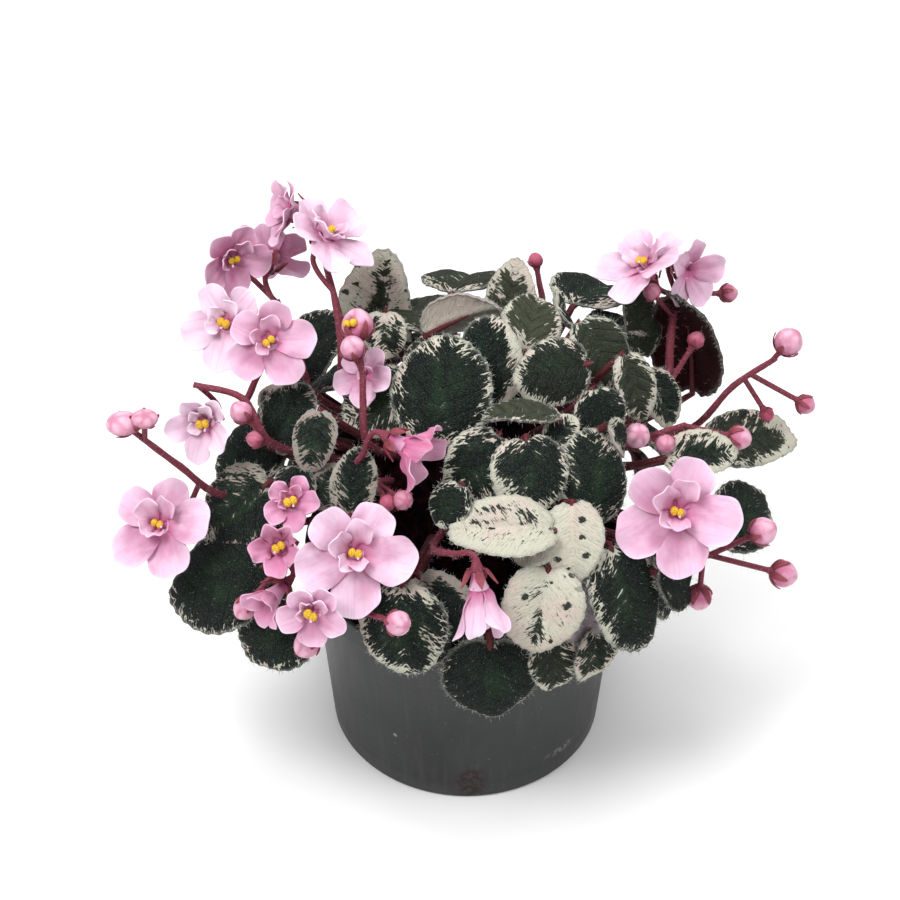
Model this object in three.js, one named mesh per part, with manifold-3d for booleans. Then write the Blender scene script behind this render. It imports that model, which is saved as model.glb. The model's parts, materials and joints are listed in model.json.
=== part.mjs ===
// A small african violet in a low plastic pot: rosette of leaves, flower stalks, blooms and anthers.
// Millimetres, +Z up. The origin is the centre of the pot's base, and -Y is the front.
import * as THREE from "three";
import { mergeVertices } from "three/addons/utils/BufferGeometryUtils.js";
import Module from "manifold-3d";

// ---------- driving dimensions ----------
const POT_BASE_RADIUS = 40;
const POT_TOP_RADIUS = 44.3;
const POT_HEIGHT = 66;
const RIM_RADIUS = 46.5;
const RIM_DEPTH = 8;
const POT_WALL = 1.3;
const POT_SEGMENTS = 28;
const DRAIN_HOLES = 6;
const DRAIN_RADIUS = 3.5;
const DRAIN_CIRCLE = 27;
const GAP = 0.3;
const SOIL_TOP = 58.5;
const SOIL_SEGMENTS = 20;
const ROOT_RADIUS = 12.6;
const ROOT_DEPTH = 6;
const ROOT_SIDES = 12;
const BLADE = 0.8;
const PETAL = 0.7;
const PETIOLE_RADIUS = 1.3;
const PETIOLE_DEPTH = 2.34;
const PEDUNCLE_RADIUS = 1.4;
const PEDICEL_RADIUS = 0.9;
const CALYX_RADIUS = 2.1;
const THROAT_RADIUS = 2.8;
const THROAT_END_RADIUS = 1.5;
const THROAT_DEPTH = 4;
const THROAT_TOP = 1.3;
const ANTHER_RADIUS = 1.2;
const ANTHER_WIDTH = 1.6;
const CLEAR = 0.35;
const MERGE = 1e-4;

// Sides of round things: stalks, side stalks with their buds, throats and drain holes.
const STALK_SIDES = 5;
const SIDE_STALK_SIDES = 4;
const THROAT_SIDES = 5;
const DRAIN_SIDES = 8;
const FIRST_SPOKE = [0.3, 0.5, 0.8];

// Edges of the pot and the soil: how far the base, shoulder and lip are rounded off, and how far
// the soil's outer edge drops and where its slope begins.
const POT_EDGE = 1;
const LIP_EDGE = 0.4;
const SOIL_EDGE_DROP = 3;
const SOIL_SLOPE_DROP = 1;
const SOIL_SLOPE_IN = 4;

// Blade of a leaf: how far its ends droop, how much it narrows towards its tip, the wave of its
// edge, and how far its petiole joins below it. Longer leaves get more rows of points.
const LEAF_DROOP = 0.07;
const LEAF_TAPER = 0.12;
const LEAF_WAVE = 0.4;
const LEAF_NECK = 0.5;
const LONG_LEAF = 26;
const SHORT_LEAF = 14;

// Open blooms spread their petals, and cupped ones, which stand up more than this, hold them in.
// Widths are shares of a petal's length, and lengths are shares of the bloom's own petal length.
const CUPPED_FROM = 40;
const OPEN_WIDTH = 0.86;
const CUPPED_WIDTH = 0.6;
const UPPER_LENGTH = 0.85;
const UPPER_PETALS = [2, 3];
const STAND_CHANGE = [-3, 5];

// A petal is widest at this share of its length and rounds off to this share of its width.
const PETAL_WIDEST = 0.62;
const PETAL_END = 0.62;
const PETAL_SHOULDER = 0.94;
const PETAL_CUP = [0.5, -0.3];

// Small petals of the crest: length, first bearing and step, first stand and step.
const CREST_LENGTH = 0.48;
const CREST_BEARING = [150, 70];
const CREST_SWAY = 20;
const CREST_SEED = 7;
const CREST_STAND = [48, 8];

// Where a petal's root lies: how far it slides out along itself, then how far out and up it sits.
const OPEN_SEAT = [0.6, 0, 0];
const CUPPED_SEAT = [0, 1.5, 0];
const CREST_SEAT = [0, 1.5, 0.8];

// A bud from its base to its point: how far along its radius, and the share of it that is left.
const BUD_PROFILE = [[1, 0.75], [0, 1], [-0.7, 0.75], [-1.15, 0]];

// How far a side stalk runs straight into its bloom or its bud, and how wide it bends before that.
const BLOOM_APPROACH = 2.6;
const BUD_APPROACH = 1.2;
const SIDE_BEND = 0.35;

// How deep stems start inside what carries them, as a share of the crown or of the stalk.
const PETIOLE_START = 0.93;
const STALK_START = 0.9;
const LAST_START = 0.97;

// Crown of the plant: a dense dome of young growth on a short root stem.
const HEART = [0, 3, 84];
const CROWN_RADII = [41, 38, 27];
const CROWN_SEGMENTS = [10, 7];

// Leaves, chosen by eye: middle of the blade (x, y, z), then where its upper face looks
// (turn from the front towards the right, lift above level), the roll of its tip from straight
// downhill, its length and width, and how far its two halves fold up.
const LEAVES = [
  // top of the mound
  [-7, -6, 128, -8, 50, 170, 31, 29, -10],
  [6, 6, 127, 8, 38, 180, 27, 19, 8],
  [-2, 28, 126, 180, 8, -118, 24, 15, 20],
  [-25, 48, 113, -20, 8, 178, 36, 24, 28],
  [-23, 22, 124, -10, 40, 10, 14, 13, 8],
  [-1, 64, 112, 186, 64, -25, 24, 24, 8],
  [-13, 42, 117, 200, 74, 15, 25, 24, 8],
  [-11, 19, 119, -40, 72, 200, 18, 14, 8],
  [13, 50, 113.5, -10, 25, 178, 25, 16, 25],
  [18, 28, 124, 20, 66, 150, 19, 18, 8],
  [28, 39, 119, 100, 22, 30, 17, 12, 8],
  [37, 56, 114, 160, 72, -15, 25, 25, 8],
  [44, 42, 112, 140, 68, -20, 19, 17, 8],
  [23, 2, 127, 0, 45, -75, 22, 19, -10],
  [37, 18, 121, 25, 42, 15, 22, 17, 14],
  // right side
  [49.5, 40, 113.5, 42, 28, 170, 23, 14, 18],
  [46, 5, 119, 22, 30, 5, 21, 12, 12],
  [54, 10, 111, 45, 35, 5, 19, 14, 8],
  [36, -9, 122, 10, 42, 10, 15, 14, -8],
  [65, 42, 107.5, 150, 12, 175, 45, 24, -18],
  [81, 16, 91, 40, 62, 72, 33, 18, 10],
  [64, -7, 106, 20, 60, 80, 22, 14, 10],
  [77, -12, 87, 60, 45, 70, 28, 21, 8],
  [57, -40, 90, 65, 20, 40, 22, 18, 8],
  [43, -51, 93.5, 38, 25, 0, 34, 23, -8],
  // front of the mound
  [2, -27, 119, -18, 48, -20, 23, 19, -10],
  [16, -33, 122, 5, 50, 0, 22, 21, -8],
  [33, -29, 117, 22, 42, 160, 26, 21, -10],
  [14, -15, 128, 180, 74, 90, 22, 14, 8],
  [25, -17, 123, 20, 60, 120, 12, 9, 8],
  [41, -16, 119, 75, 12, 25, 17, 9, 8],
  [-5, -40, 117, -25, 40, -10, 13, 12, 8],
  [9, -46, 115, 0, 68, -88, 29, 18, 12],
  [27, -46, 110, -10, 42, 8, 22, 17, 10],
  [17, -47, 108, 5, 50, -60, 12, 10, 20],
  [19, -58, 97, 6, 32, -15, 25, 22, 14],
  [30, -49, 89, 24, 25, 5, 24, 18, 8],
  // leaves that hang over the rim
  [-17, -61, 91, -5, 22, 5, 27, 24, -8],
  [-7, -54, 89, 15, 22, 20, 29, 22, 24],
  [6, -60, 70, 4, 2, 0, 30, 27, -8],
  [23, -56, 74, 18, 10, 5, 21, 14, 8],
  [34, -53, 74, 32, 8, -15, 18, 14, 10],
  [-51.5, -49, 78.5, -25, 22, -40, 28, 22, 8],
  [-68, -37, 86, -40, 40, -45, 37, 28, -8],
  [-59, -2, 76, -85, 20, 5, 26, 21, 8],
  [56, -26, 74, 62, 12, 0, 24, 20, 8],
  // left side
  [-49, -5, 117, -25, 48, 165, 21, 17, 10],
  [-41, -20, 122, -12, 45, 0, 18, 12, -8],
  [-30, -31, 117, -5, 45, 175, 19, 13, 8],
  [-37, -27, 111, -10, 40, 170, 14, 11, 8],
  [-61, -4, 101.5, -60, 50, -30, 26, 22, 8],
  [-63, -24, 101.5, -40, 45, -25, 26, 24, -8],
  [-46, -27, 111.5, -20, 45, 0, 12, 12, 8],
  [-44, 26, 116, -60, 45, 170, 26, 22, 8],
  [-54, 4, 116, -50, 45, 150, 11, 8, 8],
  [-23, -2, 119.5, -10, 50, -60, 25, 20, 8],
];

// Flower stalks: points along each one, from where it leaves the crown to its head.
const STALKS = {
  top: [[-33, 5, 115], [-35, 16, 130], [-37, 24, 139]],
  top_back: [[-31, 14, 111], [-35, 25, 126], [-40, 34, 143]],
  upper_left: [[-43, 15, 109], [-47, 22, 118], [-53, 31, 129]],
  left: [[-61, 2, 112], [-59, 4, 119], [-55, 7, 127]],
  lower_left: [[-53, -14, 116], [-60, -9, 127], [-73, -8, 131]],
  far_left: [[-66, -20, 102], [-76, -25, 117], [-85, -28, 130]],
  upright: [[-27, -15, 117], [-28, -9, 126], [-28, -5, 133]],
  side: [[-32, -25, 113], [-27, -27, 124]],
  front: [[-32, -44, 88], [-33, -52, 92]],
  front_left: [[-46, -36, 92], [-50, -40, 99]],
  hanging: [[-9, -43, 104], [-3, -52, 111]],
  right: [[64, 20, 91], [75, 20, 107], [86, 20, 117]],
  middle_right: [[51, 2, 104], [60, 1, 109]],
  lower_right: [[46, -28, 92], [58, -34, 94], [65, -36, 95]],
  top_right: [[55, 22, 100], [58, 35, 113], [60, 46, 121]],
  back: [[22, 52, 110], [21, 57, 116]],
};

// Blooms: stalk, place along it where the side stalk leaves, middle (x, y, z), where the face
// looks (turn and lift), roll, petal length, how far the petals stand up, small petals in the
// middle, and whether the yellow anthers show.
const BLOOMS = [
  ["top", 1, -38.5, 30, 151.5, 87, 60, -12, 14.5, 15, 2, true],
  ["top_back", 1, -48, 38, 154.5, -80, 20, 20, 11, 30, 1, false],
  ["upper_left", 1, -65, 30, 145, 30, 8, 0, 11.5, 25, 1, true],
  ["upper_left", 0.9, -55, 42, 135.5, 170, 10, 30, 12.5, 24, 0, false],
  ["left", 1, -65, 13, 135, -28, 38, 10, 13.5, 18, 1, true],
  ["left", 1, -53, 2, 138, 2, 35, 25, 13, 18, 1, true],
  ["lower_left", 1, -70, -10, 120, -20, 20, 0, 11, 44, 1, true],
  ["far_left", 0.5, -82, -30, 100.5, -25, 48, 36, 15, 15, 2, true],
  ["front", 1, -29.5, -50, 109.5, 8, 42, 0, 16.5, 16, 2, true],
  ["front_left", 1, -49, -45, 107, -8, 40, 0, 9, 58, 0, true],
  ["front_left", 0.9, -46, -36, 114.5, -10, 45, 20, 8, 25, 1, true],
  ["front", 0.9, -40, -63, 101.5, -10, 20, 0, 9.5, 22, 1, true],
  ["front_left", 0.8, -51, -51, 95, -40, -10, 0, 8.5, 62, 0, false],
  ["side", 1, -17, -30, 129, 66, -16, 0, 12, 55, 0, false],
  ["top", 0.45, -27.5, 3, 125, -20, 40, 15, 9, 26, 0, false],
  ["hanging", 1, 2.5, -60, 107.5, 12, -62, 0, 16, 74, 0, false],
  ["lower_right", 1, 54.5, -36, 111, 4, 42, 8, 17.5, 12, 2, true],
  ["top_right", 1, 50, 40, 133.5, -90, 62, 58, 15, 18, 1, true],
  ["top_right", 1, 62.5, 46, 128, 40, 15, 10, 11, 26, 0, false],
];

// Closed buds: stalk, place along it, middle (x, y, z) and radius.
const BUDS = [
  ["right", 1, 89, 20, 123, 4.1],
  ["right", 0.8, 96, 20, 100, 2.9],
  ["right", 0.75, 85, 18, 98, 2.1],
  ["middle_right", 1, 75, 0, 105, 3.4],
  ["middle_right", 0.3, 46, -7, 112, 3.6],
  ["middle_right", 0.6, 54, -6, 108, 2.8],
  ["lower_right", 1, 78, -36, 104, 3.8],
  ["lower_right", 1, 85, -36, 88, 3.8],
  ["lower_right", 0.9, 62.5, -38, 81, 3.6],
  ["top_right", 1, 75.5, 50, 116.5, 2.8],
  ["top_right", 0.4, 65, 32, 114, 2.4],
  ["top_right", 0.8, 51.5, 34, 129.5, 2.6],
  ["back", 1, 20, 60, 121, 2.2],
  ["front", 1, -18, -66, 100, 3.4],
  ["front", 1, -42.5, -60, 85.5, 3.5],
  ["far_left", 1, -89, -30, 136.5, 3.8],
  ["far_left", 1, -83, -31, 139, 3],
  ["lower_left", 0.35, -60.5, -11, 124, 3.2],
  ["lower_left", 0.3, -57, -14, 117, 2.4],
  ["front_left", 0.8, -59.5, -47, 86, 3.2],
  ["side", 0.2, -17, -38, 117, 2.7],
  ["side", 0.2, -21, -38, 116, 2.2],
  ["upright", 0.9, -29.5, 5, 141, 4.4],
  ["upright", 1, -30.6, -3, 139.5, 3.4],
];

// Leaves on the far side, by tier: bearing of the first leaf from the front towards the right,
// step between leaves, number, distance from the axis, height, lift, length and width.
const BACK_TIERS = [
  [112, 30, 6, 64, 84, 38, 30, 24],
  [196, 34, 2, 50, 101, 55, 27, 22],
  [80, 34, 7, 57, 74, 14, 25, 21],
];
const BACK_SWAY = 12;
const BACK_SEED = 5;
const BACK_FOLD = 8;

// ---------- solids ----------
const wasm = await Module();
wasm.setup();

function solidOf(geometry) {
  const bare = geometry.index ? geometry.toNonIndexed() : geometry.clone();
  bare.deleteAttribute("normal");
  bare.deleteAttribute("uv");
  const merged = mergeVertices(bare, MERGE);
  const mesh = new wasm.Mesh({
    numProp: 3,
    vertProperties: new Float32Array(merged.attributes.position.array),
    triVerts: new Uint32Array(merged.index.array),
  });
  return new wasm.Manifold(mesh);
}

function geometryOf(solid) {
  const mesh = solid.getMesh();
  const geometry = new THREE.BufferGeometry();
  geometry.setAttribute("position", new THREE.BufferAttribute(mesh.vertProperties, 3));
  geometry.setIndex(new THREE.BufferAttribute(mesh.triVerts, 1));
  const flat = geometry.toNonIndexed();
  flat.computeVertexNormals();
  return flat;
}

function join(solids) {
  return wasm.Manifold.union(solids);
}

// The largest body of a solid, without loose scraps and sealed hollows.
function largestBody(solid) {
  const bodies = solid.decompose();
  return bodies.reduce((best, body) => (body.volume() > best.volume() ? body : best));
}

function vector(numbers) {
  return new THREE.Vector3(...numbers);
}

// Frame of a leaf or a bloom: X across it, Y towards its tip, Z out of its upper face.
function faceFrame(place, turn, lift, roll) {
  const [t, l, r] = [turn, lift, roll].map(THREE.MathUtils.degToRad);
  const face = new THREE.Vector3(Math.cos(l) * Math.sin(t), -Math.cos(l) * Math.cos(t), Math.sin(l));
  const down = new THREE.Vector3(
    Math.sin(l) * Math.sin(t),
    -Math.sin(l) * Math.cos(t),
    -Math.cos(l),
  );
  const level = new THREE.Vector3().crossVectors(face, down);
  const tip = down.multiplyScalar(Math.cos(r)).addScaledVector(level, Math.sin(r));
  const across = new THREE.Vector3().crossVectors(tip, face);
  return new THREE.Matrix4().makeBasis(across, tip, face).setPosition(place);
}

// A round stem with few sides: one ring of points around each place on its way, each with its
// own radius, closed by a flat end or, where the last radius is 0, by a point.
function stem(places, radii, sides) {
  const rings = [];
  let across = vector(FIRST_SPOKE);
  places.forEach((place, i) => {
    const before = places[Math.max(0, i - 1)];
    const after = places[Math.min(places.length - 1, i + 1)];
    const ahead = after.clone().sub(before).normalize();
    across = across.clone().addScaledVector(ahead, -across.dot(ahead)).normalize();
    const second = new THREE.Vector3().crossVectors(ahead, across);
    const ring = [];
    for (let side = 0; side < sides && radii[i] > 0; side++) {
      const angle = (side * 2 * Math.PI) / sides;
      const spoke = across.clone().multiplyScalar(Math.cos(angle) * radii[i]);
      ring.push(spoke.addScaledVector(second, Math.sin(angle) * radii[i]).add(place));
    }
    rings.push(radii[i] > 0 ? ring : [place.clone()]);
  });
  const index = [];
  const at = (ring, side) => ring * sides + (side % sides);
  const closed = rings[rings.length - 1].length > 1 ? rings.length : rings.length - 1;
  const last = closed - 1;
  for (let side = 0; side < sides; side++) {
    for (let ring = 0; ring < last; ring++) {
      index.push(at(ring, side), at(ring, side + 1), at(ring + 1, side + 1));
      index.push(at(ring, side), at(ring + 1, side + 1), at(ring + 1, side));
    }
    if (closed < rings.length) index.push(at(last, side), at(last, side + 1), closed * sides);
  }
  for (let side = 1; side < sides - 1; side++) {
    index.push(0, at(0, side + 1), at(0, side));
    if (closed === rings.length) index.push(at(last, 0), at(last, side), at(last, side + 1));
  }
  const geometry = new THREE.BufferGeometry().setFromPoints(rings.flat());
  geometry.setIndex(index);
  return geometry;
}

// A thin sheet: rows of three points from its start to its tip, where a row of one point makes
// an end pointed, with the rows of its lower face. Both faces are split into the same triangles.
function sheet(rows, lowerRows) {
  const upper = rows.flat();
  const lower = lowerRows.flat();
  const starts = rows.map((_, row) => rows.slice(0, row).flat().length);
  const at = (row, column) => starts[row] + (rows[row].length > 1 ? column : 0);
  const faces = [];
  for (let row = 0; row < rows.length - 1; row++) {
    for (const column of [0, 1]) {
      const [a, b] = [at(row, column), at(row, column + 1)];
      const [c, d] = [at(row + 1, column + 1), at(row + 1, column)];
      if (a !== b) faces.push([a, b, c]);
      if (c !== d) faces.push([a, c, d]);
    }
  }
  const right = rows.map((_, row) => at(row, 2));
  const left = rows.map((_, row) => at(row, 0)).reverse();
  const outline = [...new Set([at(0, 1), ...right, at(rows.length - 1, 1), ...left])];
  const count = upper.length;
  const index = [];
  for (const [a, b, c] of faces) {
    index.push(a, b, c);
    index.push(a + count, c + count, b + count);
  }
  outline.forEach((a, i) => {
    const b = outline[(i + 1) % outline.length];
    index.push(a + count, b + count, b);
    index.push(a + count, b, a);
  });
  const geometry = new THREE.BufferGeometry().setFromPoints([...upper, ...lower]);
  geometry.setIndex(index);
  return geometry;
}

function offsetRows(rows, offset) {
  return rows.map((row) => row.map((point) => point.clone().add(offset)));
}

// ---------- pot and soil ----------
function potSolid() {
  const shoulder = POT_HEIGHT - RIM_DEPTH;
  const profile = [
    [0, 0],
    [POT_BASE_RADIUS - POT_EDGE, 0],
    [POT_BASE_RADIUS, POT_EDGE],
    [POT_TOP_RADIUS, shoulder - POT_EDGE],
    [RIM_RADIUS - LIP_EDGE, shoulder],
    [RIM_RADIUS, POT_HEIGHT],
    [RIM_RADIUS - POT_WALL, POT_HEIGHT],
    [RIM_RADIUS - POT_WALL - LIP_EDGE, shoulder + POT_EDGE],
    [POT_TOP_RADIUS - POT_WALL, shoulder],
    [POT_BASE_RADIUS - POT_WALL, POT_WALL],
    [0, POT_WALL],
  ];
  const points = profile.map(([radius, height]) => new THREE.Vector2(radius, height));
  const shell = new THREE.LatheGeometry(points, POT_SEGMENTS).rotateX(Math.PI / 2);
  let solid = solidOf(shell);
  for (let hole = 0; hole < DRAIN_HOLES; hole++) {
    const angle = ((hole + 0.5) * 2 * Math.PI) / DRAIN_HOLES;
    const depth = 4 * POT_WALL;
    const cutter = new THREE.CylinderGeometry(DRAIN_RADIUS, DRAIN_RADIUS, depth, DRAIN_SIDES);
    cutter.rotateX(Math.PI / 2);
    cutter.translate(DRAIN_CIRCLE * Math.cos(angle), DRAIN_CIRCLE * Math.sin(angle), 0);
    solid = solid.subtract(solidOf(cutter));
  }
  return solid;
}

function soilSolid() {
  const floor = POT_WALL + GAP;
  const hole = ROOT_RADIUS + GAP;
  const profile = [
    [0, floor],
    [POT_BASE_RADIUS - POT_WALL - GAP, floor],
    [POT_TOP_RADIUS - POT_WALL - 2 * GAP, SOIL_TOP - SOIL_EDGE_DROP],
    [POT_TOP_RADIUS - POT_WALL - SOIL_SLOPE_IN, SOIL_TOP - SOIL_SLOPE_DROP],
    [hole, SOIL_TOP],
    [hole, SOIL_TOP - ROOT_DEPTH],
    [0, SOIL_TOP - ROOT_DEPTH],
  ];
  const points = profile.map(([radius, height]) => new THREE.Vector2(radius, height));
  return solidOf(new THREE.LatheGeometry(points, SOIL_SEGMENTS).rotateX(Math.PI / 2));
}

// ---------- leaves ----------
// Point on the way from the crown's middle to a place outside it, as a share of its radii.
function crownPoint(place, share) {
  const heart = vector(HEART);
  const radii = vector(CROWN_RADII);
  const outward = place.clone().sub(heart);
  const reach = outward.clone().divide(radii).length();
  return outward.multiplyScalar(share / reach).add(heart);
}

// A leaf is one sheet: two narrow, thick rows are its petiole, and the wide ones its blade.
function leafSolid(x, y, z, turn, lift, roll, length, width, fold) {
  const frame = faceFrame(vector([x, y, z]), turn, lift, roll);
  const rise = Math.tan(THREE.MathUtils.degToRad(fold));
  const droop = LEAF_DROOP * length;
  const rowCount = 2 + (length > SHORT_LEAF) + (length > LONG_LEAF);
  const blade = [];
  for (let row = 1; row <= rowCount; row++) {
    const angle = (row * Math.PI) / (rowCount + 1);
    const along = -Math.cos(angle);
    const half = (width / 2) * Math.sin(angle) * (1 - LEAF_TAPER * along);
    const wave = row % 2 ? LEAF_WAVE : -LEAF_WAVE;
    const level = -droop * along * along;
    blade.push([
      new THREE.Vector3(-half, (along * length) / 2, level + rise * half + wave),
      new THREE.Vector3(0, (along * length) / 2, level),
      new THREE.Vector3(half, (along * length) / 2, level + rise * half - wave),
    ]);
  }
  const tip = new THREE.Vector3(0, length / 2, -droop);
  const neck = new THREE.Vector3(0, -length / 2, -droop - LEAF_NECK);
  const root = crownPoint(neck.clone().applyMatrix4(frame), PETIOLE_START);
  root.applyMatrix4(frame.clone().invert());
  const petiole = [root, neck].map((place) => [
    place.clone().add(new THREE.Vector3(-PETIOLE_RADIUS, 0, 0)),
    place.clone(),
    place.clone().add(new THREE.Vector3(PETIOLE_RADIUS, 0, 0)),
  ]);
  const ahead = neck.clone().sub(root).normalize();
  const under = new THREE.Vector3().crossVectors(ahead, new THREE.Vector3(1, 0, 0));
  under.setLength(PETIOLE_DEPTH);
  const thin = new THREE.Vector3(0, 0, -BLADE);
  const rows = [...petiole, ...blade, [tip]];
  const lowerRows = [...offsetRows(petiole, under), ...offsetRows([...blade, [tip]], thin)];
  return solidOf(sheet(rows, lowerRows).applyMatrix4(frame));
}

function backLeaves() {
  const leaves = [];
  for (const [first, step, number, reach, height, lift, length, width] of BACK_TIERS) {
    for (let i = 0; i < number; i++) {
      const bearing = first + i * step;
      const angle = THREE.MathUtils.degToRad(bearing);
      const x = reach * Math.sin(angle);
      const y = -reach * Math.cos(angle);
      const sway = BACK_SWAY * Math.sin(BACK_SEED * i + first);
      const fold = i % 2 ? BACK_FOLD : -BACK_FOLD;
      leaves.push([x, y, height + sway / 4, bearing, lift, sway, length, width, fold]);
    }
  }
  return leaves;
}

function rosetteSolid(clearances) {
  const dome = new THREE.SphereGeometry(1, ...CROWN_SEGMENTS).rotateX(Math.PI / 2);
  dome.scale(...CROWN_RADII).translate(...HEART);
  const stemHeight = HEART[2] - (SOIL_TOP - ROOT_DEPTH + GAP);
  const root = new THREE.CylinderGeometry(ROOT_RADIUS, ROOT_RADIUS, stemHeight, ROOT_SIDES);
  root.rotateX(Math.PI / 2).translate(0, 0, HEART[2] - stemHeight / 2);
  const leaves = [...LEAVES, ...backLeaves()].map((leaf) => leafSolid(...leaf));
  const grown = join([solidOf(dome), solidOf(root), ...leaves]);
  return largestBody(grown.subtract(join(clearances)));
}

// ---------- flower stalks ----------
function stalkLine(name) {
  const points = STALKS[name].map(vector);
  const curve = new THREE.CatmullRomCurve3([crownPoint(points[0], STALK_START), ...points]);
  return curve.getPoints(points.length + 1);
}

// Where a side stalk leaves its stalk, inside it.
function forkOf(line, along) {
  const place = Math.min(along, LAST_START) * (line.length - 1);
  const before = Math.floor(place);
  return line[before].clone().lerp(line[before + 1], place - before);
}

// Places along a side stalk from its start to its end, which it comes to from a direction and
// then straight over a short reach.
function sideStalk(start, end, direction, reach) {
  const bend = end.clone().addScaledVector(direction, reach);
  const knee = bend.clone().addScaledVector(direction, SIDE_BEND * start.distanceTo(bend));
  const curve = new THREE.QuadraticBezierCurve3(start, knee, bend);
  return [...curve.getPoints(2), end];
}

// Solids of one stalk with its side stalks, calyces and buds; extra widens them all.
function stalkSolids(name, extra) {
  const line = stalkLine(name);
  const girths = line.map(() => PEDUNCLE_RADIUS + extra);
  const solids = [solidOf(stem(line, girths, STALK_SIDES))];
  const thin = PEDICEL_RADIUS + extra;
  for (const [stalk, along, x, y, z, turn, lift, roll] of BLOOMS) {
    if (stalk !== name) continue;
    const frame = faceFrame(vector([x, y, z]), turn, lift, roll);
    const end = new THREE.Vector3(0, 0, -THROAT_DEPTH - GAP + extra).applyMatrix4(frame);
    const behind = new THREE.Vector3(0, 0, -1).transformDirection(frame);
    const places = sideStalk(forkOf(line, along), end, behind, BLOOM_APPROACH);
    const radii = [thin, thin, thin, CALYX_RADIUS + extra];
    solids.push(solidOf(stem(places, radii, SIDE_STALK_SIDES)));
  }
  for (const [stalk, along, x, y, z, radius] of BUDS) {
    if (stalk !== name) continue;
    const middle = vector([x, y, z]);
    const fork = forkOf(line, along);
    const back = fork.clone().sub(middle).normalize();
    const base = middle.clone().addScaledVector(back, radius);
    const places = sideStalk(fork, base, back, BUD_APPROACH);
    places.pop();
    const radii = [thin, thin, thin];
    for (const [step, share] of BUD_PROFILE) {
      places.push(middle.clone().addScaledVector(back, step * radius));
      radii.push(share && share * radius + extra);
    }
    solids.push(solidOf(stem(places, radii, SIDE_STALK_SIDES)));
  }
  return solids;
}

// ---------- blooms ----------
// A petal. seat holds how far it slides out along itself, and how far out and up its root lies.
function petalSolid(frame, bearing, seat, length, width, lift, extra, pointed) {
  const [slide, out, up] = seat;
  const half = width / 2;
  const [edge, middle] = PETAL_CUP;
  const tip = new THREE.Vector3(0, length, 0);
  const corner = new THREE.Vector3(PETAL_END * half, PETAL_SHOULDER * length, 0);
  const rows = [
    [new THREE.Vector3(0, 0, 0)],
    [-half, 0, half].map((x) => new THREE.Vector3(x, PETAL_WIDEST * length, x ? edge : middle)),
    pointed ? [tip] : [corner.clone().setX(-corner.x), tip, corner],
  ];
  const under = new THREE.Vector3(0, 0, -PETAL - 2 * extra);
  const petal = sheet(rows, offsetRows(rows, under));
  petal.translate(0, slide, extra);
  petal.rotateX(THREE.MathUtils.degToRad(lift));
  petal.translate(0, out, up);
  petal.rotateZ(THREE.MathUtils.degToRad(bearing));
  return solidOf(petal.applyMatrix4(frame));
}

function bloomSolid(bloom, extra) {
  const [, , x, y, z, turn, lift, roll, radius, opening, crest] = bloom;
  const frame = faceFrame(vector([x, y, z]), turn, lift, roll);
  const depth = THROAT_DEPTH + THROAT_TOP;
  const [wide, narrow] = [THROAT_RADIUS + extra, THROAT_END_RADIUS + extra];
  const throat = new THREE.CylinderGeometry(wide, narrow, depth + 2 * extra, THROAT_SIDES);
  throat.rotateX(Math.PI / 2).translate(0, 0, THROAT_TOP - depth / 2);
  const solids = [solidOf(throat.applyMatrix4(frame))];
  const cupped = opening > CUPPED_FROM;
  const seat = cupped ? CUPPED_SEAT : OPEN_SEAT;
  for (let petal = 0; petal < 5; petal++) {
    const length = radius * (UPPER_PETALS.includes(petal) ? UPPER_LENGTH : 1);
    const width = (cupped ? CUPPED_WIDTH : OPEN_WIDTH) * length + 2 * extra;
    const stand = opening + STAND_CHANGE[petal % 2];
    solids.push(petalSolid(frame, petal * 72, seat, length, width, stand, extra));
  }
  const [firstBearing, bearingStep] = CREST_BEARING;
  const [firstStand, standStep] = CREST_STAND;
  for (let petal = 0; petal < crest; petal++) {
    const sway = CREST_SWAY * Math.sin(CREST_SEED * radius);
    const bearing = firstBearing + petal * bearingStep + sway;
    const length = CREST_LENGTH * radius;
    const stand = firstStand + petal * standStep;
    solids.push(petalSolid(frame, bearing, CREST_SEAT, length, length, stand, extra, true));
  }
  return join(solids);
}

function anthersSolid([, , x, y, z, turn, lift, roll]) {
  const frame = faceFrame(vector([x, y, z]), turn, lift, roll);
  const pair = new THREE.IcosahedronGeometry(ANTHER_RADIUS, 0);
  pair.scale(ANTHER_WIDTH, 1, 1).translate(0, 0, THROAT_TOP + GAP + ANTHER_RADIUS);
  return solidOf(pair.applyMatrix4(frame));
}

// ---------- the plant in its pot ----------
const MATERIALS = {
  pot: new THREE.MeshStandardMaterial({ color: 0x3c3e3e, roughness: 0.55, metalness: 0 }),
  soil: new THREE.MeshStandardMaterial({ color: 0x2a1d16, roughness: 1, metalness: 0 }),
  leaf: new THREE.MeshStandardMaterial({ color: 0x2f3d33, roughness: 0.8, metalness: 0 }),
  stalk: new THREE.MeshStandardMaterial({ color: 0x9a4457, roughness: 0.7, metalness: 0 }),
  petal: new THREE.MeshStandardMaterial({ color: 0xe9bfe0, roughness: 0.75, metalness: 0 }),
  anther: new THREE.MeshStandardMaterial({ color: 0xe8c23a, roughness: 0.7, metalness: 0 }),
};

const group = new THREE.Group();

function place(name, solid, material) {
  const mesh = new THREE.Mesh(geometryOf(solid), MATERIALS[material].clone());
  mesh.name = name;
  group.add(mesh);
}

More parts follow.
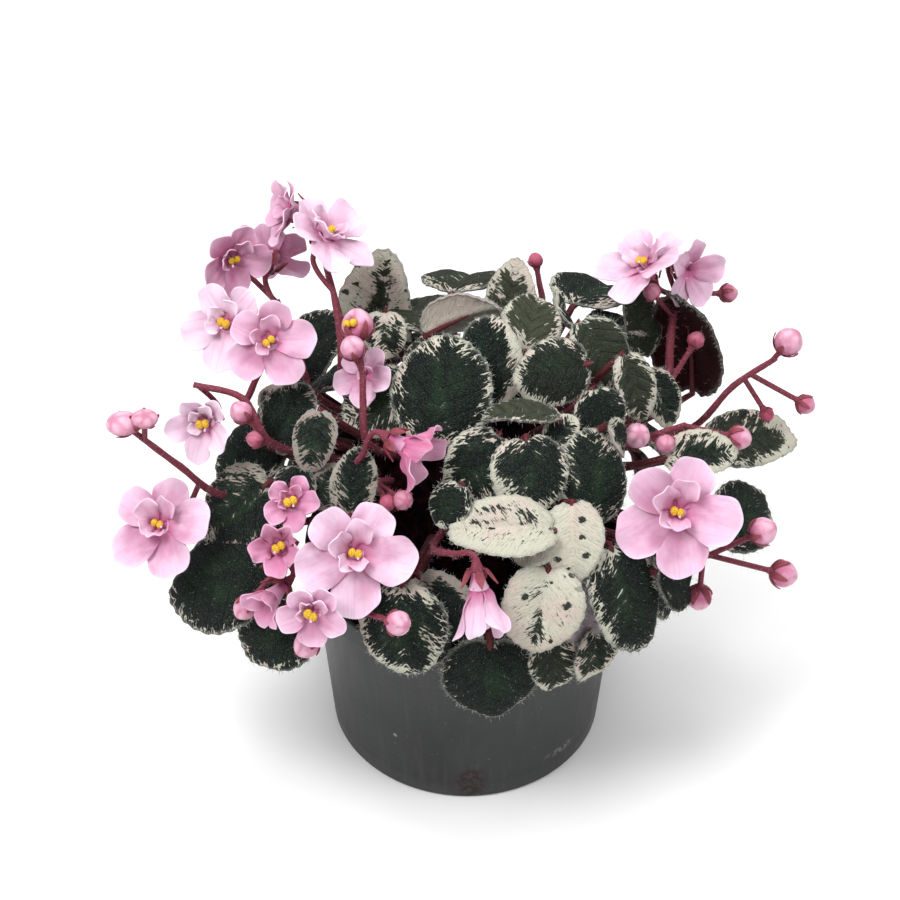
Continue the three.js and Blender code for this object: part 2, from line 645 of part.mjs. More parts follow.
const stalkNames = Object.keys(STALKS);
const clearances = [
  ...stalkNames.flatMap((name) => stalkSolids(name, CLEAR)),
  ...BLOOMS.map((bloom) => bloomSolid(bloom, CLEAR)),
];
place("pot", potSolid(), "pot");
place("soil", soilSolid(), "soil");
place("rosette", rosetteSolid(clearances), "leaf");
for (const name of stalkNames) {
  place(`stalk_${name}`, largestBody(join(stalkSolids(name, 0))), "stalk");
}
BLOOMS.forEach((bloom, i) => {
  const number = String(i + 1).padStart(2, "0");
  place(`bloom_${number}`, largestBody(bloomSolid(bloom, 0)), "petal");
  if (bloom[11]) place(`anthers_${number}`, anthersSolid(bloom), "anther");
});

export default group;
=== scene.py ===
import json
import random
from math import atan2, cos, exp, hypot, pi, radians, sin, sqrt, tan

import bmesh
import bpy
from mathutils import Matrix, Vector

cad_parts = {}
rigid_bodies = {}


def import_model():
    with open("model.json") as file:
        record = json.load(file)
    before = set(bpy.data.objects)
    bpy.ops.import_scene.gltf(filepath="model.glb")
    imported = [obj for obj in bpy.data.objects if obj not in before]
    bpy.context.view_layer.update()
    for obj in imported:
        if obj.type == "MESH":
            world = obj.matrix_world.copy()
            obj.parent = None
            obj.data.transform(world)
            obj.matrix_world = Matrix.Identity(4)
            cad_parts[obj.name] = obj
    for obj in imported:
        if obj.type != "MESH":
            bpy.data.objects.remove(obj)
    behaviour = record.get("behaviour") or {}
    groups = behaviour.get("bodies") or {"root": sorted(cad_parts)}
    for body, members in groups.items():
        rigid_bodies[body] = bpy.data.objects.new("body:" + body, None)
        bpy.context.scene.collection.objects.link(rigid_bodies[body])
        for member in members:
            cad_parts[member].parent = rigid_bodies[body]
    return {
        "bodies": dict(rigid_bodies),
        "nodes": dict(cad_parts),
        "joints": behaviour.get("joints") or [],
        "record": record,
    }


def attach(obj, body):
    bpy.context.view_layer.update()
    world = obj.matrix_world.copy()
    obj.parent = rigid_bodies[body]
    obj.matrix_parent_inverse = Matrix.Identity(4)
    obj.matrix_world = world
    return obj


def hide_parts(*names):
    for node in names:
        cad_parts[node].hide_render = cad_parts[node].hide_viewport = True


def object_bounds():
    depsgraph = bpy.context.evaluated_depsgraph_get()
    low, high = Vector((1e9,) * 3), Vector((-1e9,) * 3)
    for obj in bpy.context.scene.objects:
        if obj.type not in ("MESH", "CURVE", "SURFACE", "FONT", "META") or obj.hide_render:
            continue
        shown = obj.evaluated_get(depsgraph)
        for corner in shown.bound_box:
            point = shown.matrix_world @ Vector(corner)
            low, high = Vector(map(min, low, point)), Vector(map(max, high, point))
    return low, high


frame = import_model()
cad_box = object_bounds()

MM = 0.001
TURN = 2 * pi

# ---------- sizes shared with the solids ----------
POT_BASE_RADIUS = 40
POT_TOP_RADIUS = 44.3
POT_HEIGHT = 66
RIM_RADIUS = 46.5
RIM_DEPTH = 8
POT_WALL = 1.3
DRAIN_HOLES = 6
DRAIN_RADIUS = 3.5
DRAIN_CIRCLE = 27
GAP = 0.3
SOIL_TOP = 58.5
ROOT_RADIUS = 12.6
ROOT_DEPTH = 6
HEART = Vector((0, 3, 84))
CROWN_RADII = Vector((41, 38, 27))
PETIOLE_START = 0.93
STALK_START = 0.9
LAST_START = 0.97
THROAT_DEPTH = 4
PEDUNCLE_RADIUS = 1.4
PEDICEL_RADIUS = 0.9
CALYX_RADIUS = 2.1
BLOOM_APPROACH = 2.6
BUD_APPROACH = 1.2
SIDE_BEND = 0.35
CUPPED_FROM = 40
OPEN_SEAT = (0.6, 0, 0)
CUPPED_SEAT = (0, 1.5, 0)
CREST_SEAT = (0, 1.5, 0.8)

# ---------- sizes of the finer pieces ----------
LEAF_THICKNESS = 0.7
BLADE_DROOP = 0.07
SCALLOPS = 24
VEIN_SLOPE = 0.75
MIDDLING_LEAF = 500
PETIOLE_RADII = [1.35, 1.3, 1.2, 1.15, 1.1, 1.05, 1.0, 0.7, 0.25]
PETALS = 5
PETAL_THICKNESS = 0.3
HANGING_FROM = 70
SEPALS = 5
OPENING_BUD = 4.2
OPENING_SIDE = Vector((-0.55, -0.60, 0.58))
FLAT_BUD = (1.2, 1.1, 0.72)
CRUMBS = 260
SEAM = 1e-4
SHARP_ANGLE = 62

# ---------- camera ----------
CAMERA_PLACE = (-0.0048, -0.48532, 0.53300)
CAMERA_TILT = 41.7
CAMERA_LENS = 93.92
PICTURE_RIGHT = Vector((1, 0, 0))
PICTURE_UP = Vector((0, 0.665, 0.747))

# Leaves by place on the plant. First the form: middle of the blade (x, y, z), where its upper
# face looks (turn, lift), roll of its tip, length, width and fold. Then the colours: how much
# cream, the side that is palest as seen from the front (0 right, 90 up) and by how much, tone
# (above 0 olive, below 0 greyed), how green the midrib stays, and 1 where the underside shows.
# These last three are left off where all of them are 0.
LEAVES = {
    "top": [
        ((-7, -6, 128, -8, 50, 170, 31, 29, -10), (0.03, 160, 0.2)),
        ((6, 6, 127, 8, 38, 180, 27, 19, 8), (0.2, -25, 0.9, 0, 0.3, 0)),
        ((-2, 28, 126, 180, 8, -118, 24, 15, 20), (2.2, 0, 0, 0, 0, 1)),
        ((-25, 48, 113, -20, 8, 178, 36, 24, 28), (1.15, 0, 0.1, 0.5, 0.6, 0)),
        ((-23, 22, 124, -10, 40, 10, 14, 13, 8), (0.7, 0, 0)),
        ((-1, 64, 112, 186, 64, -25, 24, 24, 8), (0.1, 0, 0, 0.5, 0, 0)),
        ((-13, 42, 117, 200, 74, 15, 25, 24, 8), (0.2, 0, 0, 0.6, 0, 0)),
        ((-11, 19, 119, -40, 72, 200, 18, 14, 8), (-0.1, 0, 0, 0.5, 0, 0)),
        ((13, 50, 113.5, -10, 25, 178, 25, 16, 25), (0.4, 90, 0.2, 1, 0, 0)),
        ((18, 28, 124, 20, 66, 150, 19, 18, 8), (0.3, -90, 0.25, 0.9, 0, 0)),
        ((28, 39, 119, 100, 22, 30, 17, 12, 8), (0.6, 0, 0)),
        ((37, 56, 114, 160, 72, -15, 25, 25, 8), (0.15, 0, 0)),
        ((44, 42, 112, 140, 68, -20, 19, 17, 8), (0.15, -90, 0.3)),
        ((23, 2, 127, 0, 45, -75, 22, 19, -10), (0.05, 185, 0.5, 0.15, 0, 0)),
        ((37, 18, 121, 25, 42, 15, 22, 17, 14), (0.05, 215, 0.5, 0.5, 0, 0)),
    ],
    "right": [
        ((49.5, 40, 113.5, 42, 28, 170, 23, 14, 18), (-0.3, 0, 0, 0.45, 0, 0)),
        ((46, 5, 119, 22, 30, 5, 21, 12, 12), (0.45, 0, 0, 0.5, 0.3, 0)),
        ((54, 10, 111, 45, 35, 5, 19, 14, 8), (0.75, -60, 0.2, -0.3, 0, 0)),
        ((36, -9, 122, 10, 42, 10, 15, 14, -8), (0.22, 200, 0.2)),
        ((65, 42, 107.5, 150, 12, 175, 45, 24, -18), (-0.9, 0, 0)),
        ((81, 16, 91, 40, 62, 72, 33, 18, 10), (0.45, 0, 0.75, 0.3, 0.2, 0)),
        ((64, -7, 106, 20, 60, 80, 22, 14, 10), (0.55, 0, 0)),
        ((77, -12, 87, 60, 45, 70, 28, 21, 8), (-0.3, 0, 0.1)),
        ((57, -40, 90, 65, 20, 40, 22, 18, 8), (-0.3, 0, 0)),
        ((43, -51, 93.5, 38, 25, 0, 34, 23, -8), (0.08, 180, 0.55)),
    ],
    "front": [
        ((2, -27, 119, -18, 48, -20, 23, 19, -10), (0.15, 180, 0.3)),
        ((16, -33, 122, 5, 50, 0, 22, 21, -8), (0.32, 215, 0.7)),
        ((33, -29, 117, 22, 42, 160, 26, 21, -10), (0.1, 180, 0.5)),
        ((14, -15, 128, 180, 74, 90, 22, 14, 8), (-0.1, 0, 0, 0.8, 0, 0)),
        ((25, -17, 123, 20, 60, 120, 12, 9, 8), (0.65, 0, 0)),
        ((41, -16, 119, 75, 12, 25, 17, 9, 8), (0.5, 0, 0)),
        ((-5, -40, 117, -25, 40, -10, 13, 12, 8), (0.0, 0, 0)),
        ((9, -46, 115, 0, 68, -88, 29, 18, 12), (1.12, -90, 0.3)),
        ((27, -46, 110, -10, 42, 8, 22, 17, 10), (1.5, 0, 0)),
        ((17, -47, 108, 5, 50, -60, 12, 10, 20), (2.2, 0, 0)),
        ((19, -58, 97, 6, 32, -15, 25, 22, 14), (1.25, 90, 0.2, 0.1, 0.2, 0)),
        ((30, -49, 89, 24, 25, 5, 24, 18, 8), (2.4, 0, 0, -1.2, 0, 1)),
    ],
    "rim": [
        ((-17, -61, 91, -5, 22, 5, 27, 24, -8), (0.3, 200, 0.15)),
        ((-7, -54, 89, 15, 22, 20, 29, 22, 24), (0.5, 60, 0.5, -0.7, 0, 0)),
        ((6, -60, 70, 4, 2, 0, 30, 27, -8), (-0.6, 0, 0)),
        ((23, -56, 74, 18, 10, 5, 21, 14, 8), (0.3, 0, 0, 0.3, 0, 0)),
        ((34, -53, 74, 32, 8, -15, 18, 14, 10), (0.6, -30, 0.3, 0.2, 0, 0)),
        ((-51.5, -49, 78.5, -25, 22, -40, 28, 22, 8), (-0.15, 0, 0)),
        ((-68, -37, 86, -40, 40, -45, 37, 28, -8), (-0.25, 240, 0.1)),
        ((-59, -2, 76, -85, 20, 5, 26, 21, 8), (-0.3, 0, 0)),
        ((56, -26, 74, 62, 12, 0, 24, 20, 8), (-0.3, 0, 0)),
    ],
    "left": [
        ((-49, -5, 117, -25, 48, 165, 21, 17, 10), (0.3, 0, 0, -0.8, 0, 0)),
        ((-41, -20, 122, -12, 45, 0, 18, 12, -8), (0.8, 0, 0, -0.8, 0.3, 0)),
        ((-30, -31, 117, -5, 45, 175, 19, 13, 8), (0.65, 0, 0, -0.7, 0.5, 0)),
        ((-37, -27, 111, -10, 40, 170, 14, 11, 8), (1.0, 0, 0, -0.9, 0, 0)),
        ((-61, -4, 101.5, -60, 50, -30, 26, 22, 8), (-0.1, 0, 0, -0.4, 0, 0)),
        ((-63, -24, 101.5, -40, 45, -25, 26, 24, -8), (0.4, 130, 0.3, -0.6, 0, 0)),
        ((-46, -27, 111.5, -20, 45, 0, 12, 12, 8), (0.6, 0, 0, -0.9, 0, 0)),
        ((-44, 26, 116, -60, 45, 170, 26, 22, 8), (-0.2, 0, 0, -0.3, 0, 0)),
        ((-54, 4, 116, -50, 45, 150, 11, 8, 8), (1.2, 0, 0, -0.3, 0, 0)),
        ((-23, -2, 119.5, -10, 50, -60, 25, 20, 8), (0.2, 0, 0, 0.2, 0, 0)),
    ],
}

# Leaves on the far side, by tier: bearing of the first, step, number, reach, height, lift,
# length and width.
BACK_TIERS = [
    (112, 30, 6, 64, 84, 38, 30, 24),
    (196, 34, 2, 50, 101, 55, 27, 22),
    (80, 34, 7, 57, 74, 14, 25, 21),
]

# Flower stalks: points along each one, from where it leaves the crown to its head.
STALKS = {
    "top": [(-33, 5, 115), (-35, 16, 130), (-37, 24, 139)],
    "top_back": [(-31, 14, 111), (-35, 25, 126), (-40, 34, 143)],
    "upper_left": [(-43, 15, 109), (-47, 22, 118), (-53, 31, 129)],
    "left": [(-61, 2, 112), (-59, 4, 119), (-55, 7, 127)],
    "lower_left": [(-53, -14, 116), (-60, -9, 127), (-73, -8, 131)],
    "far_left": [(-66, -20, 102), (-76, -25, 117), (-85, -28, 130)],
    "upright": [(-27, -15, 117), (-28, -9, 126), (-28, -5, 133)],
    "side": [(-32, -25, 113), (-27, -27, 124)],
    "front": [(-32, -44, 88), (-33, -52, 92)],
    "front_left": [(-46, -36, 92), (-50, -40, 99)],
    "hanging": [(-9, -43, 104), (-3, -52, 111)],
    "right": [(64, 20, 91), (75, 20, 107), (86, 20, 117)],
    "middle_right": [(51, 2, 104), (60, 1, 109)],
    "lower_right": [(46, -28, 92), (58, -34, 94), (65, -36, 95)],
    "top_right": [(55, 22, 100), (58, 35, 113), (60, 46, 121)],
    "back": [(22, 52, 110), (21, 57, 116)],
}

# Blooms: stalk, place along it, middle (x, y, z), turn, lift, roll, petal length, how far the
# petals stand up, small petals in the middle, whether the anthers show, and how deep the pink is
# (below 0 paler).
BLOOMS = [
    ("top", 1, -38.5, 30, 151.5, 87, 60, -12, 14.5, 15, 2, True, -0.2),
    ("top_back", 1, -48, 38, 154.5, -80, 20, 20, 11, 30, 1, False, 0.35),
    ("upper_left", 1, -65, 30, 145, 30, 8, 0, 11.5, 25, 1, True, 0.5),
    ("upper_left", 0.9, -55, 42, 135.5, 170, 10, 30, 12.5, 24, 0, False, 0.4),
    ("left", 1, -65, 13, 135, -28, 38, 10, 13.5, 18, 1, True, -0.6),
    ("left", 1, -53, 2, 138, 2, 35, 25, 13, 18, 1, True, 0.35),
    ("lower_left", 1, -70, -10, 120, -20, 20, 0, 11, 44, 1, True, -0.5),
    ("far_left", 0.5, -82, -30, 100.5, -25, 48, 36, 15, 15, 2, True, 0.15),
    ("front", 1, -29.5, -50, 109.5, 8, 42, 0, 16.5, 16, 2, True, 0.0),
    ("front_left", 1, -49, -45, 107, -8, 40, 0, 9, 58, 0, True, 0.9),
    ("front_left", 0.9, -46, -36, 114.5, -10, 45, 20, 8, 25, 1, True, 0.8),
    ("front", 0.9, -40, -63, 101.5, -10, 20, 0, 9.5, 22, 1, True, 0.3),
    ("front_left", 0.8, -51, -51, 95, -40, -10, 0, 8.5, 62, 0, False, 0.7),
    ("side", 1, -17, -30, 129, 66, -16, 0, 12, 55, 0, False, 0.8),
    ("top", 0.45, -27.5, 3, 125, -20, 40, 15, 9, 26, 0, False, 0.2),
    ("hanging", 1, 2.5, -60, 107.5, 12, -62, 0, 16, 74, 0, False, 0.1),
    ("lower_right", 1, 54.5, -36, 111, 4, 42, 8, 17.5, 12, 2, True, 0.3),
    ("top_right", 1, 50, 40, 133.5, -90, 62, 58, 15, 18, 1, True, -0.1),
    ("top_right", 1, 62.5, 46, 128, 40, 15, 10, 11, 26, 0, False, 0.15),
]

# Closed buds: stalk, place along it, middle (x, y, z) and radius.
BUDS = [
    ("right", 1, 89, 20, 123, 4.1),
    ("right", 0.8, 96, 20, 100, 2.9),
    ("right", 0.75, 85, 18, 98, 2.1),
    ("middle_right", 1, 75, 0, 105, 3.4),
    ("middle_right", 0.3, 46, -7, 112, 3.6),
    ("middle_right", 0.6, 54, -6, 108, 2.8),
    ("lower_right", 1, 78, -36, 104, 3.8),
    ("lower_right", 1, 85, -36, 88, 3.8),
    ("lower_right", 0.9, 62.5, -38, 81, 3.6),
    ("top_right", 1, 75.5, 50, 116.5, 2.8),
    ("top_right", 0.4, 65, 32, 114, 2.4),
    ("top_right", 0.8, 51.5, 34, 129.5, 2.6),
    ("back", 1, 20, 60, 121, 2.2),
    ("front", 1, -18, -66, 100, 3.4),
    ("front", 1, -42.5, -60, 85.5, 3.5),
    ("far_left", 1, -89, -30, 136.5, 3.8),
    ("far_left", 1, -83, -31, 139, 3),
    ("lower_left", 0.35, -60.5, -11, 124, 3.2),
    ("lower_left", 0.3, -57, -14, 117, 2.4),
    ("front_left", 0.8, -59.5, -47, 86, 3.2),
    ("side", 0.2, -17, -38, 117, 2.7),
    ("side", 0.2, -21, -38, 116, 2.2),
    ("upright", 0.9, -29.5, 5, 141, 4.4),
    ("upright", 1, -30.6, -3, 139.5, 3.4),
]


# ---------- finishes ----------
class Finish:
    """A material in the making, with short ways to add its nodes and join them."""

    def __init__(self, name, roughness=0.6, gloss=0.12):
        self.material = bpy.data.materials.new(name)
        self.material.use_nodes = True
        self.tree = self.material.node_tree
        self.shader = self.tree.nodes["Principled BSDF"]
        self.set("Roughness", roughness)
        self.set("Specular IOR Level", gloss)

    def node(self, kind, inputs=None, **settings):
        made = self.tree.nodes.new("ShaderNode" + kind)
        for name, value in settings.items():
            setattr(made, name, value)
        for key, value in (inputs or {}).items():
            if isinstance(value, bpy.types.NodeSocket):
                self.tree.links.new(value, made.inputs[key])
            else:
                made.inputs[key].default_value = value
        return made

    def set(self, socket, value):
        if isinstance(value, bpy.types.NodeSocket):
            self.tree.links.new(value, self.shader.inputs[socket])
        else:
            self.shader.inputs[socket].default_value = value

    def math(self, operation, *values, clamp=False):
        inputs = dict(enumerate(values))
        return self.node("Math", inputs, operation=operation, use_clamp=clamp).outputs[0]

    def chain(self, operation, values):
        result = values[0]
        for value in values[1:]:
            result = self.math(operation, result, value)
        return result

    def total(self, *values):
        return self.chain("ADD", values)

    def times(self, *values):
        return self.chain("MULTIPLY", values)

    def swing(self, noise):
        """A noise counted from its middle, so that it goes both ways."""
        return self.math("SUBTRACT", noise, 0.5)

    def step(self, value, low, high, start=0.0, end=1.0):
        inputs = {"Value": value, "From Min": low, "From Max": high, "To Min": start, "To Max": end}
        return self.node("MapRange", inputs, interpolation_type="SMOOTHSTEP").outputs[0]

    def mix(self, share, first, second):
        inputs = {0: share, 6: colour(first), 7: colour(second)}
        return self.node("Mix", inputs, data_type="RGBA").outputs[2]

    def place(self):
        return self.node("TexCoord").outputs["Object"]

    def mark(self, name):
        return self.node("Attribute", attribute_name=name).outputs["Vector"]

    def parts(self, vector):
        return self.node("SeparateXYZ", {0: vector}).outputs

    def scaled(self, vector, scale):
        inputs = {0: vector, 1: scale}
        return self.node("VectorMath", inputs, operation="MULTIPLY").outputs[0]

    def noise(self, vector, scale, detail=3.0, roughness=0.55):
        inputs = {"Vector": vector, "Scale": scale, "Detail": detail, "Roughness": roughness}
        return self.node("TexNoise", inputs).outputs["Fac"]

    def cells(self, vector, feature="F1"):
        inputs = {"Vector": vector, "Scale": 1.0}
        return self.node("TexVoronoi", inputs, feature=feature).outputs

    def bump(self, height, strength, distance):
        inputs = {"Height": height, "Strength": strength, "Distance": distance}
        self.set("Normal", self.node("Bump", inputs).outputs[0])

    def flesh(self, weight, radius, scale):
        """Light that goes a little way in, as in petals and stems."""
        self.set("Subsurface Weight", weight)
        self.set("Subsurface Radius", radius)
        self.set("Subsurface Scale", scale)


def colour(value):
    return value if isinstance(value, bpy.types.NodeSocket) else (*value, 1.0)


def dark_dots(f, cream):
    """Small ragged dots, 1 inside them, on the leaves that have much cream."""
    dots = f.cells(f.scaled(f.place(), (260, 330, 300)))
    chance, size, _ = f.parts(dots["Color"])
    ragged = f.total(dots["Distance"], f.times(f.swing(f.noise(f.place(), 1100, 2)), 0.5))
    outside = f.step(size, 0.0, 1.0, 0.16, 0.34)
    inside = f.step(size, 0.0, 1.0, 0.08, 0.26)
    wanted = f.times(f.step(cream, 0.78, 0.9), f.step(cream, 2.0, 1.8))
    return f.times(f.step(ragged, outside, inside), f.step(chance, 0.46, 0.5), wanted)


def leaf_finish():
    """Velvet leaf: dark green with a cream margin that breaks into flecks along the veins."""
    f = Finish("velvet_leaf", 0.75, 0.05)
    flow = f.mark("flow")
    rim, cream, tone = f.parts(f.mark("skin"))
    under, vein, _ = f.parts(f.mark("side"))
    patch = f.noise(f.scaled(flow, (0.07, 0.09, 1)), 1.0, 2)
    streak = f.noise(f.scaled(flow, (0.26, 0.62, 1)), 1.0, 4)
    fleck = f.noise(f.scaled(flow, (0.85, 1.9, 1)), 1.0, 3)
    felt_and_glint = f.noise(f.place(), 3300, 2)
    line = f.step(f.math("PINGPONG", vein, 0.5), 0.09, 0.0)

    # Where the leaf is cream: towards its edge, drawn out and broken up along the veins.
    margin = f.step(rim, 0.6, 1.0, -0.12, 0.74)
    drift = f.times(f.swing(patch), f.step(cream, 0.6, 1.1, 2.6, 1.0))
    spread = f.times(f.swing(streak), f.step(cream, 0.5, 1.05, 2.7, 0.9))
    crumble = f.times(f.swing(fleck), f.step(rim, 0.0, 0.9, 0.8, 1.9))
    net = f.cells(f.scaled(flow, (0.55, 0.95, 1)), "DISTANCE_TO_EDGE")["Distance"]
    lace = f.times(f.step(net, 0.2, 0.02, -0.35, 0.45), f.step(rim, 0.45, 0.9))
    lace = f.times(lace, f.step(cream, 1.0, 0.7), f.step(streak, 0.4, 0.58, 0.25, 1.0))
    trace = f.times(line, f.step(patch, 0.46, 0.58, 0.0, 0.5))
    shade = f.times(f.math("MINIMUM", tone, 0.0), 0.34)
    level = f.total(cream, margin, drift, spread, crumble, lace, trace, shade, -0.8)
    pale = f.times(f.step(level, 0.0, 0.16), f.math("SUBTRACT", 1.0, dark_dots(f, cream)))

    # The greens of the blade, then its creams.
    olive = f.math("MAXIMUM", tone, 0.0, clamp=True)
    olive = f.times(olive, f.step(streak, 0.25, 0.6, 0.45, 1.0))
    glow = f.times(f.step(rim, 0.85, 0.1), f.step(patch, 0.38, 0.6))
    green = f.mix(glow, (0.0062, 0.0086, 0.0080), (0.009, 0.022, 0.0105))
    green = f.mix(olive, green, (0.056, 0.060, 0.036))
    green = f.mix(f.times(f.step(level, -0.55, -0.05), 0.5), green, (0.046, 0.055, 0.042))
    # Light grey specks: partly the pale hairs of the velvet, partly a painted glint on the quilted
    # surface.
    green = f.mix(f.times(f.step(felt_and_glint, 0.46, 0.68), 0.2), green, (0.16, 0.19, 0.165))
    # Darker along the sunken veins: painted shade in their grooves.
    green = f.mix(f.times(line, 0.4), green, (0.004, 0.008, 0.006))
    grey = f.math("MAXIMUM", f.times(tone, -1.0), 0.0, clamp=True)
    blush = f.noise(f.place(), 90, 2)
    white = f.mix(f.step(blush, 0.42, 0.62), (0.54, 0.53, 0.44), (0.57, 0.49, 0.43))
    white = f.mix(f.times(f.step(fleck, 0.5, 0.36), 0.5), white, (0.31, 0.33, 0.24))
    white = f.mix(f.times(grey, 0.85), white, (0.19, 0.15, 0.135))
    # The cream is also a little darker along the sunken veins: painted shade in their grooves.
    white = f.mix(f.times(line, 0.06), white, (0.26, 0.27, 0.19))

    # Both faces with the pale fringe of hairs at the edge.
    top = f.mix(pale, green, white)
    fringe = f.times(f.step(rim, 0.91, 0.99), f.step(felt_and_glint, 0.40, 0.56, 0.2, 0.7))
    top = f.mix(fringe, top, (0.27, 0.28, 0.25))
    below = f.mix(pale, (0.030, 0.005, 0.007), (0.31, 0.25, 0.27))
    below = f.mix(f.times(fringe, 0.4), below, (0.33, 0.29, 0.28))
    f.set("Base Color", f.mix(under, top, below))
    f.set("Sheen Weight", 0.025)
    f.set("Sheen Roughness", 0.4)
    f.set("Sheen Tint", (0.75, 0.85, 0.85, 1))
    groove = f.times(line, f.step(pale, 0.0, 1.0, -0.5, -0.12))
    height = f.total(groove, felt_and_glint, fleck, f.times(pale, 0.3))
    f.bump(height, 0.7, 0.0007)
    return f.material


def stem_finish(name, low, high, nap):
    """Downy stem, darker at its foot than at its head."""
    f = Finish(name, 0.55)
    _, reach, _ = f.parts(f.mark("side"))
    blotch = f.noise(f.place(), 260, 4)
    grain = f.noise(f.place(), 2200, 2)
    body = f.mix(f.step(f.total(reach, blotch), 0.3, 1.3), low, high)
    body = f.mix(f.times(f.step(grain, 0.55, 0.75), nap), body, (0.85, 0.62, 0.66))
    f.set("Base Color", body)
    f.flesh(0.08, (1.0, 0.3, 0.3), 0.001)
    f.bump(grain, 0.4, 0.0004)
    return f.material


def hair_finish(name, tint):
    """Fine hair, a little clear, lighter in some places than in others."""
    f = Finish(name, 0.5)
    shade = f.noise(f.place(), 700, 1)
    lighter = tuple(1.35 * part for part in tint)
    f.set("Base Color", f.mix(f.step(shade, 0.35, 0.65), tint, lighter))
    f.set("Alpha", 0.75)
    return f.material


def petal_finish():
    """Thin petal: lilac pink, deeper at its root, paler at its edge, with faint veins and painted
    shade in the crease along its middle.
    """
    f = Finish("petal_pink", 0.6)
    flow = f.mark("flow")
    rim, fold, _ = f.parts(f.mark("skin"))
    under, reach, depth = f.parts(f.mark("side"))
    cloud = f.noise(f.scaled(flow, (0.16, 0.10, 1)), 1.0, 3)
    veins = f.noise(f.scaled(flow, (1.7, 0.09, 1)), 1.0, 3)
    lilac = f.mix(f.step(cloud, 0.35, 0.65), (0.51, 0.26, 0.38), (0.65, 0.42, 0.55))
    body = f.mix(f.step(f.total(reach, cloud), 0.75, 1.5), lilac, (0.74, 0.54, 0.67))
    deep = f.times(f.math("MAXIMUM", depth, 0.0), 0.75)
    body = f.mix(deep, body, (0.52, 0.16, 0.31))
    wash = f.times(f.math("MINIMUM", depth, 0.0), -0.9)
    body = f.mix(wash, body, (0.84, 0.69, 0.80))
    body = f.mix(f.step(reach, 0.40, 0.0), body, (0.48, 0.10, 0.24))
    body = f.mix(f.times(f.step(veins, 0.52, 0.68), 0.22), body, (0.50, 0.21, 0.38))
    frill = f.times(f.step(rim, 0.84, 1.0), f.step(cloud, 0.3, 0.7, 0.05, 0.4))
    body = f.mix(frill, body, (0.86, 0.75, 0.84))
    outer = f.times(under, f.step(depth, 0.6, 0.9), f.step(veins, 0.35, 0.6, 0.35, 0.9))
    body = f.mix(outer, body, (0.42, 0.07, 0.17))
    # Deeper pink on the fold mark: painted shade in the crease along the petal's middle.
    f.set("Base Color", f.mix(f.times(fold, 0.5), body, (0.52, 0.15, 0.31)))
    f.flesh(0.2, (1.0, 0.5, 0.7), 0.0012)
    f.set("Sheen Weight", 0.06)
    f.bump(f.total(veins, f.noise(f.place(), 3200, 2)), 0.25, 0.0003)
    return f.material


def bud_finish():
    """Closed bud: pale pink folds over a deep pink foot, with painted shade in the grooves between
    the folds and in the opening.
    """
    f = Finish("bud_pink", 0.55)
    groove, _, _ = f.parts(f.mark("skin"))
    _, reach, depth = f.parts(f.mark("side"))
    cloud = f.noise(f.place(), 420, 3)
    pink = f.mix(f.step(f.total(reach, cloud), 0.7, 1.4), (0.47, 0.15, 0.25), (0.70, 0.42, 0.53))
    # Darker on the groove mark: painted shade between the folds and in the hollow of the opening
    # bud.
    pink = f.mix(f.times(groove, 0.75), pink, (0.36, 0.07, 0.14))
    pink = f.mix(f.step(reach, 0.9, 1.0), pink, (0.52, 0.21, 0.31))
    f.set("Base Color", f.mix(depth, pink, (0.34, 0.05, 0.10)))
    f.flesh(0.25, (1.0, 0.4, 0.5), 0.0015)
    f.bump(f.noise(f.place(), 2400, 2), 0.3, 0.0003)
    return f.material


def pollen_finish():
    """Grainy yellow anther."""
    f = Finish("pollen_yellow", 0.7)
    grain = f.noise(f.place(), 3600, 3)
    f.set("Base Color", f.mix(f.step(grain, 0.38, 0.62), (0.62, 0.31, 0.02), (0.92, 0.62, 0.07)))
    f.bump(grain, 0.8, 0.0006)
    return f.material


def spot(f, place, centre, reach):
    """A soft round mark of a given size about a place, 1 in its middle."""
    offset = f.node("VectorMath", {0: place, 1: centre}, operation="SUBTRACT").outputs[0]
    scaled = f.scaled(offset, tuple(1 / r for r in reach))
    distance = f.node("VectorMath", {0: scaled}, operation="LENGTH").outputs["Value"]
    return f.step(distance, 1.0, 0.2)


def pot_finish():
    """Dark grey moulded plastic with dust, fine scuffs and a stain of dried peat at its foot."""
    f = Finish("grey_plastic", 0.45, 0.22)
    place = f.place()
    dust = f.noise(f.scaled(place, (1, 1, 0.35)), 60, 5)
    speck = f.noise(place, 900, 2)
    streak = f.noise(f.scaled(place, (1, 1, 0.06)), 420, 3)
    grey = f.mix(f.step(dust, 0.35, 0.7), (0.015, 0.016, 0.016), (0.029, 0.031, 0.031))
    grey = f.mix(f.times(f.step(streak, 0.5, 0.75), 0.25), grey, (0.062, 0.061, 0.058))
    grey = f.mix(f.times(f.step(speck, 0.70, 0.76), 0.5), grey, (0.16, 0.15, 0.13))
    stain = spot(f, place, (0.001, -0.040, 0.007), (0.006, 0.010, 0.010))
    stain = f.times(stain, f.step(f.noise(place, 520, 4), 0.42, 0.56))
    grey = f.mix(f.times(stain, 0.9), grey, (0.030, 0.012, 0.008))
    scuff = spot(f, place, (0.028, -0.029, 0.010), (0.0105, 0.0085, 0.0022))
    scuff = f.times(scuff, f.step(f.noise(place, 640, 3), 0.46, 0.58))
    grey = f.mix(f.times(scuff, 0.5), grey, (0.26, 0.25, 0.24))
    chip = spot(f, place, (-0.0206, -0.0363, 0.0233), (0.001, 0.001, 0.001))
    grey = f.mix(f.times(chip, 0.7), grey, (0.3, 0.3, 0.3))
    f.set("Base Color", grey)
    f.set("Roughness", f.step(f.total(dust, f.times(stain, 0.6)), 0.3, 1.0, 0.36, 0.66))
    f.bump(f.total(f.times(streak, 0.5), speck), 0.12, 0.0004)
    return f.material


